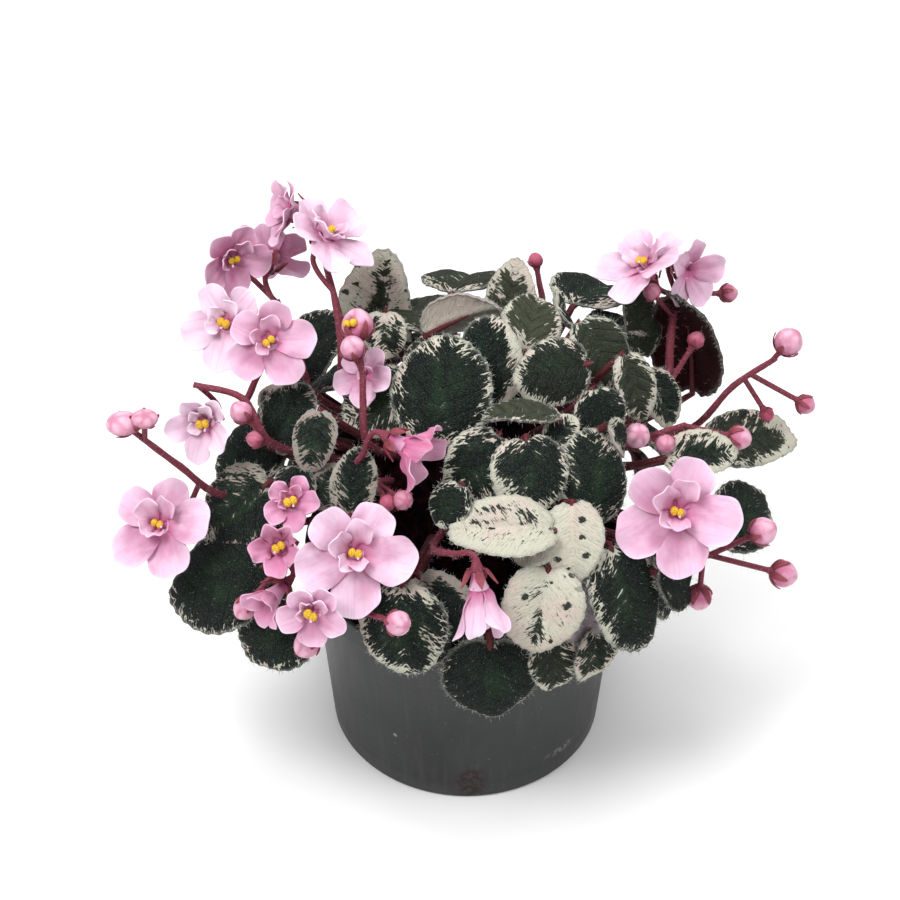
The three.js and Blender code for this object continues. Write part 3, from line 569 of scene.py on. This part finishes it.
def earth_and_shade_finish(name, dark, light, scale):
    """Crumbly, fibrous texture: for the peat in the pot, and for the painted deep shade at the
    plant's heart.
    """
    f = Finish(name, 0.95, 0.02)
    place = f.place()
    crumb = f.noise(place, scale, 6, 0.7)
    fibre = f.noise(f.scaled(place, (1, 0.3, 1)), 3 * scale, 3)
    f.set("Base Color", f.mix(f.step(f.total(crumb, fibre), 0.85, 1.2), dark, light))
    f.bump(f.total(crumb, fibre), 1.0, 0.002)
    return f.material


FINISHES = {
    "leaf": leaf_finish(),
    "down": hair_finish("leaf_down", (0.38, 0.40, 0.36)),
    "petiole": stem_finish("petiole_brown", (0.020, 0.004, 0.005), (0.085, 0.016, 0.020), 0.1),
    "stem": stem_finish("stem_burgundy", (0.048, 0.009, 0.012), (0.175, 0.034, 0.053), 0.16),
    "fuzz": hair_finish("stem_fuzz", (0.50, 0.26, 0.32)),
    "sepal": stem_finish("sepal_burgundy", (0.13, 0.020, 0.034), (0.25, 0.058, 0.075), 0.16),
    "petal": petal_finish(),
    "bud": bud_finish(),
    "pollen": pollen_finish(),
    "pot": pot_finish(),
    "peat": earth_and_shade_finish("peat", (0.012, 0.007, 0.005), (0.075, 0.042, 0.026), 240),
    # The heart's near-black colour is painted deep shade, for the inside of the rosette between the
    # leaves.
    "heart": earth_and_shade_finish("heart_painted_shade", (0.001, 0.0003, 0.0004), (0.009, 0.002, 0.003), 160),
}


# ---------- making meshes ----------
# Three marks travel with every point: flow (out along the veins, across them, a number of its
# own), skin (nearness of the edge, cream or fold, tone) and side (underside, reach, tint).
MARKS = ("flow", "skin", "side")


def new_mesh():
    bm = bmesh.new()
    for mark in MARKS:
        bm.verts.layers.float_vector.new(mark)
    return bm


def layers(bm):
    return [bm.verts.layers.float_vector[mark] for mark in MARKS]


def held(point):
    """A point in metres, brought back to the box of the solids where it is past it."""
    low, high = cad_box
    return Vector(max(low[i], min(high[i], point[i])) for i in range(3))


def new_object(name, data):
    obj = bpy.data.objects.new(name, data)
    bpy.context.scene.collection.objects.link(obj)
    return obj


class Piece:
    """A piece gathered part by part and then laid into the scene as one mesh."""

    def __init__(self, name, slot, finishes, *nodes):
        self.name = name
        self.slot = slot
        self.finishes = finishes
        self.nodes = nodes
        self.whole = new_mesh()

    def add(self, part, finish):
        index = self.finishes.index(finish)
        for face in part.faces:
            face.material_index = index
            face.smooth = True
        carrier = bpy.data.meshes.new("carrier")
        part.to_mesh(carrier)
        part.free()
        self.whole.from_mesh(carrier)
        bpy.data.meshes.remove(carrier)

    def lay(self):
        bmesh.ops.scale(self.whole, vec=(MM, MM, MM), verts=self.whole.verts[:])
        for v in self.whole.verts:
            v.co = held(v.co)
        mesh = bpy.data.meshes.new(self.name)
        self.whole.to_mesh(mesh)
        self.whole.free()
        mesh.set_sharp_from_angle(angle=radians(SHARP_ANGLE))
        for finish in self.finishes:
            mesh.materials.append(FINISHES[finish])
        obj = new_object(self.name, mesh)
        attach(obj, "root")
        if self.nodes:
            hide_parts(*self.nodes)
        return obj


def face_frame(place, turn, lift, roll):
    """Frame of a leaf or bloom: X across it, Y towards its tip, Z out of its upper face."""
    t, l, r = (radians(angle) for angle in (turn, lift, roll))
    face = Vector((cos(l) * sin(t), -cos(l) * cos(t), sin(l)))
    down = Vector((sin(l) * sin(t), -sin(l) * cos(t), -cos(l)))
    tip = down * cos(r) + face.cross(down) * sin(r)
    matrix = Matrix((tip.cross(face), tip, face)).transposed().to_4x4()
    matrix.translation = Vector(place)
    return matrix


def crown_point(place, share):
    """The point of the crown that faces a place, at a share of the way out from its middle."""
    outward = Vector(place) - HEART
    reach = Vector(o / r for o, r in zip(outward, CROWN_RADII)).length
    return HEART + outward * (share / reach)


def smooth(value, low, high):
    """0 at low, 1 at high and eased between them."""
    share = max(0.0, min(1.0, (value - low) / (high - low)))
    return share * share * (3 - 2 * share)


def sheet(shape, steps, thickness):
    """A thin closed sheet. shape turns a point of a round grid into a place and its marks."""
    bm = new_mesh()
    bmesh.ops.create_grid(bm, x_segments=steps, y_segments=steps, size=1)
    kept = layers(bm)
    for v in bm.verts:
        a, b = v.co.x, v.co.y
        marks = shape(a * sqrt(1 - b * b / 2), b * sqrt(1 - a * a / 2))
        v.co = marks[0]
        for layer, mark in zip(kept, marks[1:]):
            v[layer] = mark
    bm.normal_update()
    count = len(bm.verts)
    bmesh.ops.solidify(bm, geom=bm.faces[:], thickness=thickness)
    bm.verts.ensure_lookup_table()
    for v in bm.verts[count:]:
        v[kept[2]].x = 1 - v[kept[2]].x
    return bm


def tube(line, radii, sides, blend=(0.0, 1.0), seed=0.0):
    """A round stem along a line, closed at both ends."""
    bm = new_mesh()
    steps = len(line) - 1
    bmesh.ops.create_grid(bm, x_segments=sides, y_segments=steps, size=0.5)
    flow, _, side = layers(bm)
    across = Vector((0.3, 0.5, 0.8))
    spokes = []
    for i in range(steps + 1):
        ahead = (line[min(steps, i + 1)] - line[max(0, i - 1)]).normalized()
        across = (across - ahead * across.dot(ahead)).normalized()
        spokes.append((across, ahead.cross(across)))
    for v in bm.verts:
        ring = round((v.co.y + 0.5) * steps)
        angle = (v.co.x + 0.5) * TURN
        first, second = spokes[ring]
        share = blend[0] + (blend[1] - blend[0]) * ring / steps
        v.co = line[ring] + (first * cos(angle) + second * sin(angle)) * radii[ring]
        v[flow] = (angle, share, seed)
        v[side] = (0, share, 0)
    bmesh.ops.remove_doubles(bm, verts=bm.verts[:], dist=SEAM)
    bmesh.ops.holes_fill(bm, edges=[e for e in bm.edges if e.is_boundary], sides=0)
    bmesh.ops.recalc_face_normals(bm, faces=bm.faces[:])
    return bm


def ball(around, up, radius=1):
    bm = new_mesh()
    bmesh.ops.create_uvsphere(bm, u_segments=around, v_segments=up, radius=radius)
    return bm


def turned_mesh(profile, steps):
    """A closed body turned from a profile that starts and ends on the axis."""
    bm = new_mesh()
    corners = [bm.verts.new((radius, 0, height)) for radius, height in profile]
    for a, b in zip(corners, corners[1:]):
        bm.edges.new((a, b))
    bmesh.ops.spin(
        bm, geom=[*bm.verts, *bm.edges], cent=(0, 0, 0), axis=(0, 0, 1), angle=TURN,
        steps=steps, use_merge=True,
    )
    bmesh.ops.remove_doubles(bm, verts=bm.verts[:], dist=SEAM)
    bmesh.ops.recalc_face_normals(bm, faces=bm.faces[:])
    return bm


def hairs(source, count, length, thick, rng, lean, past=-1.0):
    """Small tapered hairs on the points of another mesh, whose edge mark is past a number."""
    bm = new_mesh()
    flow, skin, _ = layers(source)
    own_flow = layers(bm)[0]
    source.normal_update()
    places = [v for v in source.verts if v[skin].x > past]
    for _ in range(count):
        v = rng.choice(places)
        jitter = Vector((rng.uniform(-1, 1), rng.uniform(-1, 1), rng.uniform(-1, 1)))
        way = (v.normal + jitter * lean).normalized()
        tall = length * rng.uniform(0.6, 1.2)
        base = v.co + jitter * 0.35 - way * 0.1
        tip = (base + way * tall) * MM
        if held(tip) != tip:
            continue
        turn = way.to_track_quat("Z", "Y").to_matrix().to_4x4()
        turn.translation = base + way * (tall / 2)
        made = bmesh.ops.create_cone(
            bm, cap_ends=True, segments=3, radius1=thick, radius2=0.15 * thick, depth=tall,
            matrix=turn,
        )
        for corner in made["verts"]:
            corner[own_flow] = v[flow]
    return bm


# ---------- leaves ----------
def leaf_parts(form, looks, number):
    """The blade of one leaf, its petiole with the midrib, and its down."""
    *middle, turn, lift, roll, length, width, fold = form
    cream, toward, lean, tone, rib, under = (*looks, 0, 0, 0)[:6]
    rng = random.Random(100 + number)
    place = face_frame(middle, turn, lift, roll)
    toward = radians(toward)
    seen = PICTURE_RIGHT * cos(toward) + PICTURE_UP * sin(toward)
    pale_side = place.to_3x3().transposed() @ seen
    first, second, third = (rng.uniform(0, TURN) for _ in range(3))
    seed = 7.3 * number
    spacing = length / rng.uniform(5.5, 6.5)
    rise = tan(radians(fold))
    droop = BLADE_DROOP * length

    def shape(a, b):
        reach = hypot(a, b)
        angle = atan2(a, -b)
        out = 0.98 + 0.016 * cos(SCALLOPS * angle) * reach ** 8
        out += 0.025 * sin(2 * angle + first) * reach
        out += 0.015 * sin(5 * angle + second) * reach
        notch = 0.12 * exp(-((a / 0.2) ** 2)) * smooth(-b, 0.55, 1.0)
        px = a * out * (width / 2) * (1 - 0.12 * b)
        py = (b * out + notch) * length / 2
        side = sqrt(px * px + 0.5) - sqrt(0.5)
        along = py - VEIN_SLOPE * abs(px)
        vein = along / spacing
        quilt = 0.34 * (0.5 - 0.5 * cos(TURN * vein)) * min(1, side / 2) * (1 - reach ** 4)
        groove = -0.4 * exp(-((px / 0.9) ** 2)) * (1 - reach ** 4)
        ripple = 0.011 * width * reach ** 4 * sin(7 * angle + third)
        ripple += 0.022 * width * reach ** 2 * sin(3 * angle + second)
        curl = -0.045 * width * reach ** 6
        pz = -droop * b * b + rise * side + quilt + groove + ripple + curl
        local = cream + lean * (a * pale_side.x + b * pale_side.y)
        local -= rib * exp(-((a / 0.2) ** 2))
        flow = (abs(px), along, seed + 0.2 * px)
        return place @ Vector((px, py, pz)), flow, (reach, local, tone), (under, vein, 0)

    blade = sheet(shape, 24 if length > 16 else 16, LEAF_THICKNESS)
    outer = place @ Vector((0, -length / 2 * 0.92, -droop - 1.5))
    root = crown_point(place @ Vector((0, -length / 2, -droop - 0.5)), PETIOLE_START)
    sag = Vector((0, 0, -0.06 * (outer - root).length))
    rib_middle = place @ Vector((0, -0.22 * length, -droop * 0.2 - 1.9))
    rib_end = place @ Vector((0, 0.12 * length, -1.5))
    line = [root.lerp(outer, i / 6) + sag * sin(pi * i / 6) for i in range(7)]
    petiole = tube([*line, rib_middle, rib_end], PETIOLE_RADII, 10, (0.0, 1.0), seed)
    size = length * width / MIDDLING_LEAF
    down = hairs(blade, int(80 * size), 1.0, 0.05, rng, 0.4)
    edge = hairs(blade, int(170 * size), 1.1, 0.055, rng, 0.5, past=0.97)
    fuzz = hairs(petiole, 26, 1.0, 0.05, rng, 0.3)
    return blade, petiole, down, edge, fuzz


def back_leaves():
    """Rows for the leaves of the far side, tier by tier."""
    rng = random.Random(5)
    rows = []
    for first, step, number, reach, height, lift, length, width in BACK_TIERS:
        for i in range(number):
            bearing = first + i * step
            angle = radians(bearing)
            sway = 12 * sin(5 * i + first)
            form = (
                reach * sin(angle), -reach * cos(angle), height + sway / 4,
                bearing, lift, sway, length, width, 8 if i % 2 else -8,
            )
            looks = (rng.uniform(-0.35, 0.45), rng.uniform(0, 360), rng.uniform(0, 0.4))
            rows.append((form, looks))
    return rows


def make_leaves():
    petioles = Piece("petioles", "leaf", ["petiole", "fuzz"], "rosette")
    number = 0
    for where, rows in {**LEAVES, "back": back_leaves()}.items():
        blades = Piece(f"leaves_{where}", "leaf", ["leaf", "down"], "rosette")
        for form, looks in rows:
            blade, petiole, down, edge, fuzz = leaf_parts(form, looks, number)
            blades.add(blade, "leaf")
            blades.add(down, "down")
            blades.add(edge, "down")
            petioles.add(petiole, "petiole")
            petioles.add(fuzz, "fuzz")
            number += 1
        blades.lay()
    petioles.lay()


def make_crown():
    """The dense heart of the plant on its root stem, under the leaves, coloured as painted deep
    shade.
    """
    crown = Piece("crown", "leaf", ["heart"], "rosette")
    dome = ball(64, 32)
    for v in dome.verts:
        bearing = atan2(v.co.y, v.co.x)
        ripple = 0.03 * sin(9 * bearing + 5 * v.co.z)
        ripple += 0.02 * sin(17 * bearing - 11 * v.co.z)
        v.co *= 0.97 + ripple * (1 - v.co.z ** 2)
        v.co = HEART + Vector(c * r for c, r in zip(v.co, CROWN_RADII))
    crown.add(dome, "heart")
    foot = SOIL_TOP - ROOT_DEPTH + GAP
    line = [Vector((0, 0, foot + (HEART.z - foot) * i / 10)) for i in range(11)]
    radii = [ROOT_RADIUS * (0.95 + 0.04 * sin(2.3 * i)) for i in range(11)]
    crown.add(tube(line, radii, 32), "heart")
    crown.lay()


# ---------- flower stalks ----------
def curve_through(points, steps):
    """A smooth line through points, evened by the distances between them."""
    ends = [2 * points[0] - points[1], *points, 2 * points[-1] - points[-2]]
    line = []
    for i in range(len(points) - 1):
        a, b, c, d = ends[i : i + 4]
        first, second, third = (sqrt((q - p).length) for p, q in ((a, b), (b, c), (c, d)))
        leave = ((b - a) / first - (c - a) / (first + second) + (c - b) / second) * second
        arrive = ((c - b) / second - (d - b) / (second + third) + (d - c) / third) * second
        for step in range(steps):
            t = step / steps
            bend = (2 * b - 2 * c + leave + arrive) * t ** 3
            line.append(bend + (3 * c - 3 * b - 2 * leave - arrive) * t ** 2 + leave * t + b)
    return [*line, points[-1].copy()]


def fork_of(line, along):
    """Where a side stalk leaves its stalk, inside it."""
    place = min(along, LAST_START) * (len(line) - 1)
    before = int(place)
    return line[before].lerp(line[before + 1], place - before)


def side_line(start, end, direction, reach):
    """The line of a side stalk, which comes to its end straight over a short reach."""
    bend = end + direction * reach
    knee = bend + direction * (SIDE_BEND * (start - bend).length)
    places = []
    for i in range(9):
        t = i / 8
        places.append(start * (1 - t) ** 2 + knee * (2 * t * (1 - t)) + bend * t ** 2)
    return [*places, end]


def sepal(frame, bearing, length, width, spread, start, seed, away):
    """A narrow pointed sepal that starts away from a stem's middle and leans out."""
    turned = frame @ Matrix.Rotation(bearing, 4, "Z") @ Matrix.Translation((0, away, start))
    turned = turned @ Matrix.Rotation(radians(90 - spread), 4, "X")

    def shape(a, b):
        point = (1 - 0.55 * b) * (1 - 0.35 * smooth(b, 0.3, 1.0))
        px = a * width / 2 * point
        py = (b + 1) / 2 * length
        pz = -0.25 * abs(px) - 0.14 * length * ((b + 1) / 2) ** 2
        return turned @ Vector((px, py, pz)), (px, py, seed), (0, 0, 0), (0, (b + 1) / 2, 0)

    return sheet(shape, 6, 0.35)


def bud_parts(middle, back, radius, rng):
    """A closed bud with folded petals, and the five sepals that hold it."""
    frame = (-back).to_track_quat("Z", "Y").to_matrix().to_4x4()
    frame.translation = middle
    young = smooth(radius, 3.4, 1.8)
    twist = rng.uniform(-1.2, 1.2)
    body = ball(30, 18)
    _, skin, side = layers(body)
    for v in body.verts:
        height = v.co.z
        bearing = atan2(v.co.y, v.co.x)
        fold = abs(sin(SEPALS / 2 * bearing + twist * height)) ** 0.5
        open_top = smooth(height, -0.2, 0.7)
        round_off = 1 - 0.10 * (1 - fold) * open_top
        girth = radius * 0.97 * round_off * (1 - 0.12 * smooth(height, 0.2, 1))
        v.co.x *= girth
        v.co.y *= girth
        v.co.z *= radius * (1.0 if height > 0 else 0.97)
        # The groove mark, where the finish paints shade between the folds.
        v[skin] = ((1 - fold) * open_top, 0, 0)
        v[side] = (0, (height + 1) / 2, young)
    body.transform(frame)
    if radius > OPENING_BUD:
        for v in body.verts:
            away = (v.co - middle).normalized().angle(OPENING_SIDE)
            v.co = middle + (v.co - middle) * (1 - 0.45 * smooth(away, 0.75, 0.35))
            # The hollow of the opening gets the groove mark too, so it is painted in shade.
            v[skin].x = max(v[skin].x, smooth(away, 0.75, 0.5))
    parts = [(body, "bud")]
    for i in range(SEPALS):
        bearing = i * TURN / SEPALS + twist

        def shape(a, b, bearing=bearing):
            share = (b + 1) / 2
            latitude = -pi / 2 + 0.15 + share * 1.45
            level = cos(latitude)
            around = bearing + a * 0.34 * (1 - 0.6 * share) / max(0.35, level)
            place = Vector((level * cos(around), level * sin(around), sin(latitude)))
            place *= radius * (1.07 + 0.05 * share)
            return frame @ place, (a, b, bearing), (0, 0, 0), (0, share, 0)

        parts.append((sheet(shape, 6, 0.3), "sepal"))
    return parts


def make_bud_pollen(middle, radius):
    """The two anthers that show in the bud that has begun to open."""
    pollen = Piece("pollen_bud", "anther", ["pollen"])
    for side in (-1, 1):
        lobe = ball(16, 10, 1.15)
        where = middle + OPENING_SIDE * (0.78 * radius) + Vector((side * 0.9, 0, side * 0.25))
        bmesh.ops.translate(lobe, vec=where, verts=lobe.verts)
        pollen.add(lobe, "pollen")
    pollen.lay()


def add_side_stalk(piece, line, last_radii, blend, down, rng):
    """Adds a slim side stalk and its fuzz to a piece, with its last rings as wide as given."""
    radii = [PEDICEL_RADIUS * 0.86] * (len(line) - len(last_radii)) + last_radii
    stem = tube(line, radii, 10, blend)
    piece.add(hairs(stem, down, 1.0, 0.045, rng, 0.25), "fuzz")
    piece.add(stem, "stem")


def make_stalk(name):
    rng = random.Random(name)
    points = [Vector(p) for p in STALKS[name]]
    points = [crown_point(points[0], STALK_START), *points]
    line = curve_through(points, 6)
    piece = Piece(f"{name}_stalk", "stalk", ["stem", "fuzz", "sepal", "bud"], f"stalk_{name}")
    count = len(line)
    heads = sum(row[0] == name for row in [*BLOOMS, *BUDS])
    girth = PEDUNCLE_RADIUS * (0.95 if heads > 3 else 0.75)
    swell = [girth * (1.1 - 0.32 * i / count + 0.04 * sin(1.7 * i)) for i in range(count)]
    swell[-1] = 0.8
    stem = tube(line, swell, 12)
    fuzz = hairs(stem, 30 * count // 4, 1.1, 0.045, rng, 0.25)
    piece.add(fuzz, "fuzz")
    piece.add(stem, "stem")
    for row in (row for row in BLOOMS if row[0] == name):
        place = face_frame(row[2:5], *row[5:8])
        end = place @ Vector((0, 0, -THROAT_DEPTH - GAP))
        behind = place.to_3x3() @ Vector((0, 0, -1))
        side = side_line(fork_of(line, row[1]), end, behind, BLOOM_APPROACH)
        cup = [PEDICEL_RADIUS * 1.1, CALYX_RADIUS * 0.9]
        add_side_stalk(piece, side, cup, (0.6, 1.0), 40, rng)
        for i in range(SEPALS):
            bearing = (i + 0.5) * TURN / SEPALS
            piece.add(sepal(place, bearing, 5.2, 2.2, 28, -THROAT_DEPTH - 0.5, i, 1.9), "sepal")
    for _, along, *place, radius in (row for row in BUDS if row[0] == name):
        middle = Vector(place)
        fork = fork_of(line, along)
        back = (fork - middle).normalized()
        side = side_line(fork, middle + back * radius, back, BUD_APPROACH)
        add_side_stalk(piece, side, [PEDICEL_RADIUS * 1.3], (0.5, 0.9), 34, rng)
        for part, finish in bud_parts(middle, back, radius, rng):
            if name == "far_left":
                about = Matrix.Translation(-middle)
                bmesh.ops.scale(part, vec=FLAT_BUD, space=about, verts=part.verts)
            if finish == "bud":
                piece.add(hairs(part, int(16 * radius), 0.7, 0.04, rng, 0.25), "fuzz")
            piece.add(part, finish)
        if radius > OPENING_BUD:
            make_bud_pollen(middle, radius)
    piece.lay()


# ---------- blooms ----------
def petal(frame, bearing, seat, length, width, lift, depth, rng, crest=False):
    """A petal with a narrow root, a rounded and slightly ruffled end, and a soft cup."""
    slide, out, up = seat
    bearing += rng.uniform(-5, 5)
    lift += rng.uniform(-6, 6)
    around = Matrix.Rotation(radians(bearing), 4, "Z")
    raised = Matrix.Rotation(radians(lift), 4, "X")
    turned = frame @ around @ Matrix.Translation((0, out, up))
    turned = turned @ raised @ Matrix.Translation((0, slide, 0))
    first, second, third = (rng.uniform(0, TURN) for _ in range(3))
    twist = rng.uniform(-0.16, 0.16)
    curl = rng.uniform(-0.14, 0.0)
    ruffle = rng.uniform(0.035, 0.06) * (1.9 if crest or depth > 0.75 else 1)
    seed = rng.uniform(0, 90)

    def shape(a, b):
        reach = hypot(a, b)
        angle = atan2(a, b)
        share = (b + 1) / 2
        wobble = 1 + 0.035 * sin(3 * angle + first) * reach ** 2
        wobble += 0.018 * sin(8 * angle + third) * reach ** 4
        px = a * wobble * (width / 2) * (1 + 0.34 * b) / 1.06
        py = length * ((b * wobble + 1) / 2)
        cup = 0.8 * (px / (width / 2)) ** 2 - 0.35
        pz = cup * smooth(share, 0.05, 0.5) + twist * px * share
        pz += ruffle * length * reach ** 3 * sin(4 * angle + second)
        pz += 0.16 * sin(9 * a / (0.35 + share) + third) * share * (1 - 0.6 * share)
        pz += curl * length * share ** 3 - 0.9 * exp(-((a / 0.13) ** 2)) * share * (1 - share)
        # The fold mark follows the crease along the middle, where the finish paints shade.
        fold = smooth(0.09 - abs(a), 0, 0.09) * (1 - share) * 0.7
        rim = reach * smooth(share, 0.1, 0.6)
        place = turned @ Vector((px, py, pz))
        return place, (px, py, seed), (rim, fold, 0), (0, share, depth)

    return sheet(shape, 9 if crest else 14, PETAL_THICKNESS)


def throat(frame, depth):
    """The short funnel that the petals stand on, hollow at its mouth."""
    profile = [
        (0, -THROAT_DEPTH), (1.5, -THROAT_DEPTH), (1.7, -2.4), (2.3, -0.3), (2.7, 0.5),
        (2.3, 0.9), (1.5, 0.2), (0.8, -1.2), (0, -1.5),
    ]
    bm = turned_mesh(profile, 20)
    side = layers(bm)[2]
    for v in bm.verts:
        v[side] = (0, smooth(v.co.z, -THROAT_DEPTH, 3), depth)
    bm.transform(frame)
    return bm


def make_bloom(row, number):
    """Five petals, the small ones of the crest inside them, the throat and its anthers."""
    _, _, *middle, turn, lift, roll, radius, opening, crest, shows, depth = row
    rng = random.Random(40 + number)
    frame = face_frame(middle, turn, lift, roll)
    piece = Piece(f"petals_{number:02d}", "petal", ["petal"], f"bloom_{number:02d}")
    cupped = opening > CUPPED_FROM
    breadth = 0.52 if opening > HANGING_FROM else 0.7 if cupped else 0.83
    seat = CUPPED_SEAT if cupped else OPEN_SEAT
    for i in range(PETALS):
        length = radius * (0.83 if i in (2, 3) else 0.97)
        stand = opening + (5 if i % 2 else -3)
        made = petal(frame, i * 360 / PETALS, seat, length, breadth * length, stand, depth, rng)
        piece.add(made, "petal")
    for i in range(crest + 2 if crest else 0):
        bearing = 150 + i * 70 + 20 * sin(radius * 7)
        length = radius * (0.52 if i < crest else 0.38)
        size = (length, length * 0.85)
        made = petal(frame, bearing, CREST_SEAT, *size, 48 + 8 * i, depth + 0.15, rng, crest=True)
        piece.add(made, "petal")
    piece.add(throat(frame, max(depth, 0.2)), "petal")
    piece.lay()
    if shows:
        make_anthers(frame, number, rng)


def make_anthers(frame, number, rng):
    """Two yellow lobes side by side on their short filaments, with the pale style beside them."""
    piece = Piece(f"pollen_{number:02d}", "anther", ["pollen", "petal"], f"anthers_{number:02d}")
    spin = Matrix.Rotation(rng.uniform(-0.7, 0.7), 4, "Z")
    for side in (-1, 1):
        size = rng.uniform(0.95, 1.15)
        lobe = ball(16, 10, size)
        for v in lobe.verts:
            crease = 1 - 0.3 * exp(-((v.co.x / 0.25) ** 2)) * smooth(v.co.z, -0.2, 0.9)
            v.co = Vector((v.co.x * 0.95 + side * 0.85, v.co.y * 1.15, v.co.z * 0.9 * crease + 2.8))
        lobe.transform(frame @ spin)
        piece.add(lobe, "pollen")
        line = [frame @ Vector((side * (0.4 + 0.1 * i), 0, -1.2 + i * 0.9)) for i in range(5)]
        piece.add(tube(line, [0.35] * 5, 8, (0.6, 0.9)), "petal")
    bend = rng.uniform(-0.8, 0.8)
    line = [frame @ Vector((0.3 * bend * i, 0.28 * i, -1 + i * 0.95)) for i in range(6)]
    piece.add(tube(line, [0.3, 0.28, 0.26, 0.25, 0.25, 0.34], 8, (0.8, 1.0)), "petal")
    piece.lay()


# ---------- pot and soil ----------
def make_pot():
    """The pot with its foot, lip and wall, then the drain holes cut through its base."""
    base, top, rim = POT_BASE_RADIUS, POT_TOP_RADIUS, RIM_RADIUS
    shoulder = POT_HEIGHT - RIM_DEPTH
    profile = [
        (0, 0.5), (base - 4, 0.5), (base - 3.4, 0), (base - 1.2, 0), (base - 0.45, 0.25),
        (base, 1), (base + 0.45, 7), (base + 2.1, 29), (top - 0.1, shoulder - 1.4),
        (top + 0.3, shoulder - 0.7), (rim - 0.7, shoulder - 0.15), (rim - 0.35, shoulder + 0.5),
        (rim - 0.1, POT_HEIGHT - 1), (rim - 0.1, POT_HEIGHT - 0.4), (rim - 0.4, POT_HEIGHT),
        (rim - 0.9, POT_HEIGHT), (rim - POT_WALL, POT_HEIGHT - 0.4),
        (rim - POT_WALL - 0.4, shoulder + 1), (top - POT_WALL, shoulder),
        (base - POT_WALL, POT_WALL), (0, POT_WALL),
    ]
    piece = Piece("plastic_pot", "pot", ["pot"], "pot")
    piece.add(turned_mesh(profile, 112), "pot")
    pot = piece.lay()
    drill = bmesh.new()
    radius = DRAIN_RADIUS * MM
    for hole in range(DRAIN_HOLES):
        angle = (hole + 0.5) * TURN / DRAIN_HOLES
        where = (DRAIN_CIRCLE * cos(angle) * MM, DRAIN_CIRCLE * sin(angle) * MM, 0)
        bmesh.ops.create_cone(
            drill, cap_ends=True, segments=24, radius1=radius, radius2=radius, depth=6 * MM,
            matrix=Matrix.Translation(where),
        )
    mesh = bpy.data.meshes.new("drill")
    drill.to_mesh(mesh)
    drill.free()
    cutter = new_object("drill", mesh)
    cut = pot.modifiers.new("drain_holes", "BOOLEAN")
    cut.object = cutter
    cut.operation = "DIFFERENCE"
    cut.solver = "EXACT"
    graph = bpy.context.evaluated_depsgraph_get()
    drilled = bpy.data.meshes.new_from_object(pot.evaluated_get(graph), depsgraph=graph)
    pot.modifiers.clear()
    pot.data = drilled
    bpy.data.objects.remove(cutter)


def make_soil():
    """The peat in the pot, with a rough top and crumbs on it."""
    floor = POT_WALL + GAP
    hole = ROOT_RADIUS + GAP
    top_radius = POT_TOP_RADIUS - POT_WALL - 2 * GAP
    rings = [hole + (top_radius - 2 - hole) * i / 14 for i in range(15)]
    profile = [(0, floor), (POT_BASE_RADIUS - POT_WALL - GAP, floor), (top_radius, SOIL_TOP - 3)]
    profile += [(radius, SOIL_TOP - (radius / top_radius) ** 4) for radius in reversed(rings)]
    profile += [(hole, SOIL_TOP - ROOT_DEPTH), (0, SOIL_TOP - ROOT_DEPTH)]
    rng = random.Random(11)
    bed = turned_mesh(profile, 90)
    for v in bed.verts:
        if v.co.z > SOIL_TOP - 2.5:
            v.co.z -= rng.uniform(0, 1.3)
    piece = Piece("peat_bed", "soil", ["peat"], "soil")
    piece.add(bed, "peat")
    crumbs = new_mesh()
    for _ in range(CRUMBS):
        angle = rng.uniform(0, TURN)
        radius = rng.uniform(hole + 2, top_radius - 3)
        place = Vector((radius * cos(angle), radius * sin(angle), SOIL_TOP - 1.2))
        size = rng.uniform(0.4, 1.3)
        sizes = Vector((size, size * 0.7, size * 0.6))
        matrix = Matrix.LocRotScale(place, Matrix.Rotation(angle, 3, "X"), sizes)
        bmesh.ops.create_icosphere(crumbs, subdivisions=1, radius=1, matrix=matrix)
    piece.add(crumbs, "peat")
    piece.lay()


make_pot()
make_soil()
make_crown()
make_leaves()
for stalk_name in STALKS:
    make_stalk(stalk_name)
for bloom_index, bloom_row in enumerate(BLOOMS):
    make_bloom(bloom_row, bloom_index + 1)


# ---------- floor, light and camera ----------
def make_floor():
    bm = bmesh.new()
    bmesh.ops.create_grid(bm, x_segments=1, y_segments=1, size=3)
    mesh = bpy.data.meshes.new("floor")
    bm.to_mesh(mesh)
    bm.free()
    f = Finish("pale_floor", 0.9)
    f.set("Base Color", f.mix(f.noise(f.place(), 3, 2), (0.93, 0.93, 0.93), (0.95, 0.95, 0.95)))
    mesh.materials.append(f.material)
    floor = new_object("floor", mesh)


def area_light(name, place, aim, size, power):
    light = bpy.data.lights.new(name, "AREA")
    light.size = size
    light.energy = power
    obj = new_object(name, light)
    obj.location = place
    obj.rotation_euler = (Vector(aim) - Vector(place)).to_track_quat("-Z", "Y").to_euler()


def make_stage():
    make_floor()
    scene = bpy.context.scene
    world = bpy.data.worlds.new("studio")
    world.use_nodes = True
    sky = world.node_tree.nodes["Background"].inputs
    sky["Color"].default_value = (1, 1, 1, 1)
    sky["Strength"].default_value = 0.48
    scene.world = world
    middle = (0, 0, 0.09)
    area_light("softbox_left", (-0.45, -0.35, 1.0), middle, 0.45, 9.5)
    area_light("softbox_right", (0.7, -0.3, 0.8), middle, 0.6, 3)
    area_light("softbox_top", (0.1, 0.3, 1.1), middle, 0.6, 6)
    camera = bpy.data.cameras.new("camera")
    camera.sensor_width = 36
    camera.lens = CAMERA_LENS
    scene.camera = new_object("camera", camera)
    scene.camera.location = CAMERA_PLACE
    scene.camera.rotation_euler = (radians(90 - CAMERA_TILT), 0, 0)
    scene.view_settings.view_transform = "Standard"


make_stage()
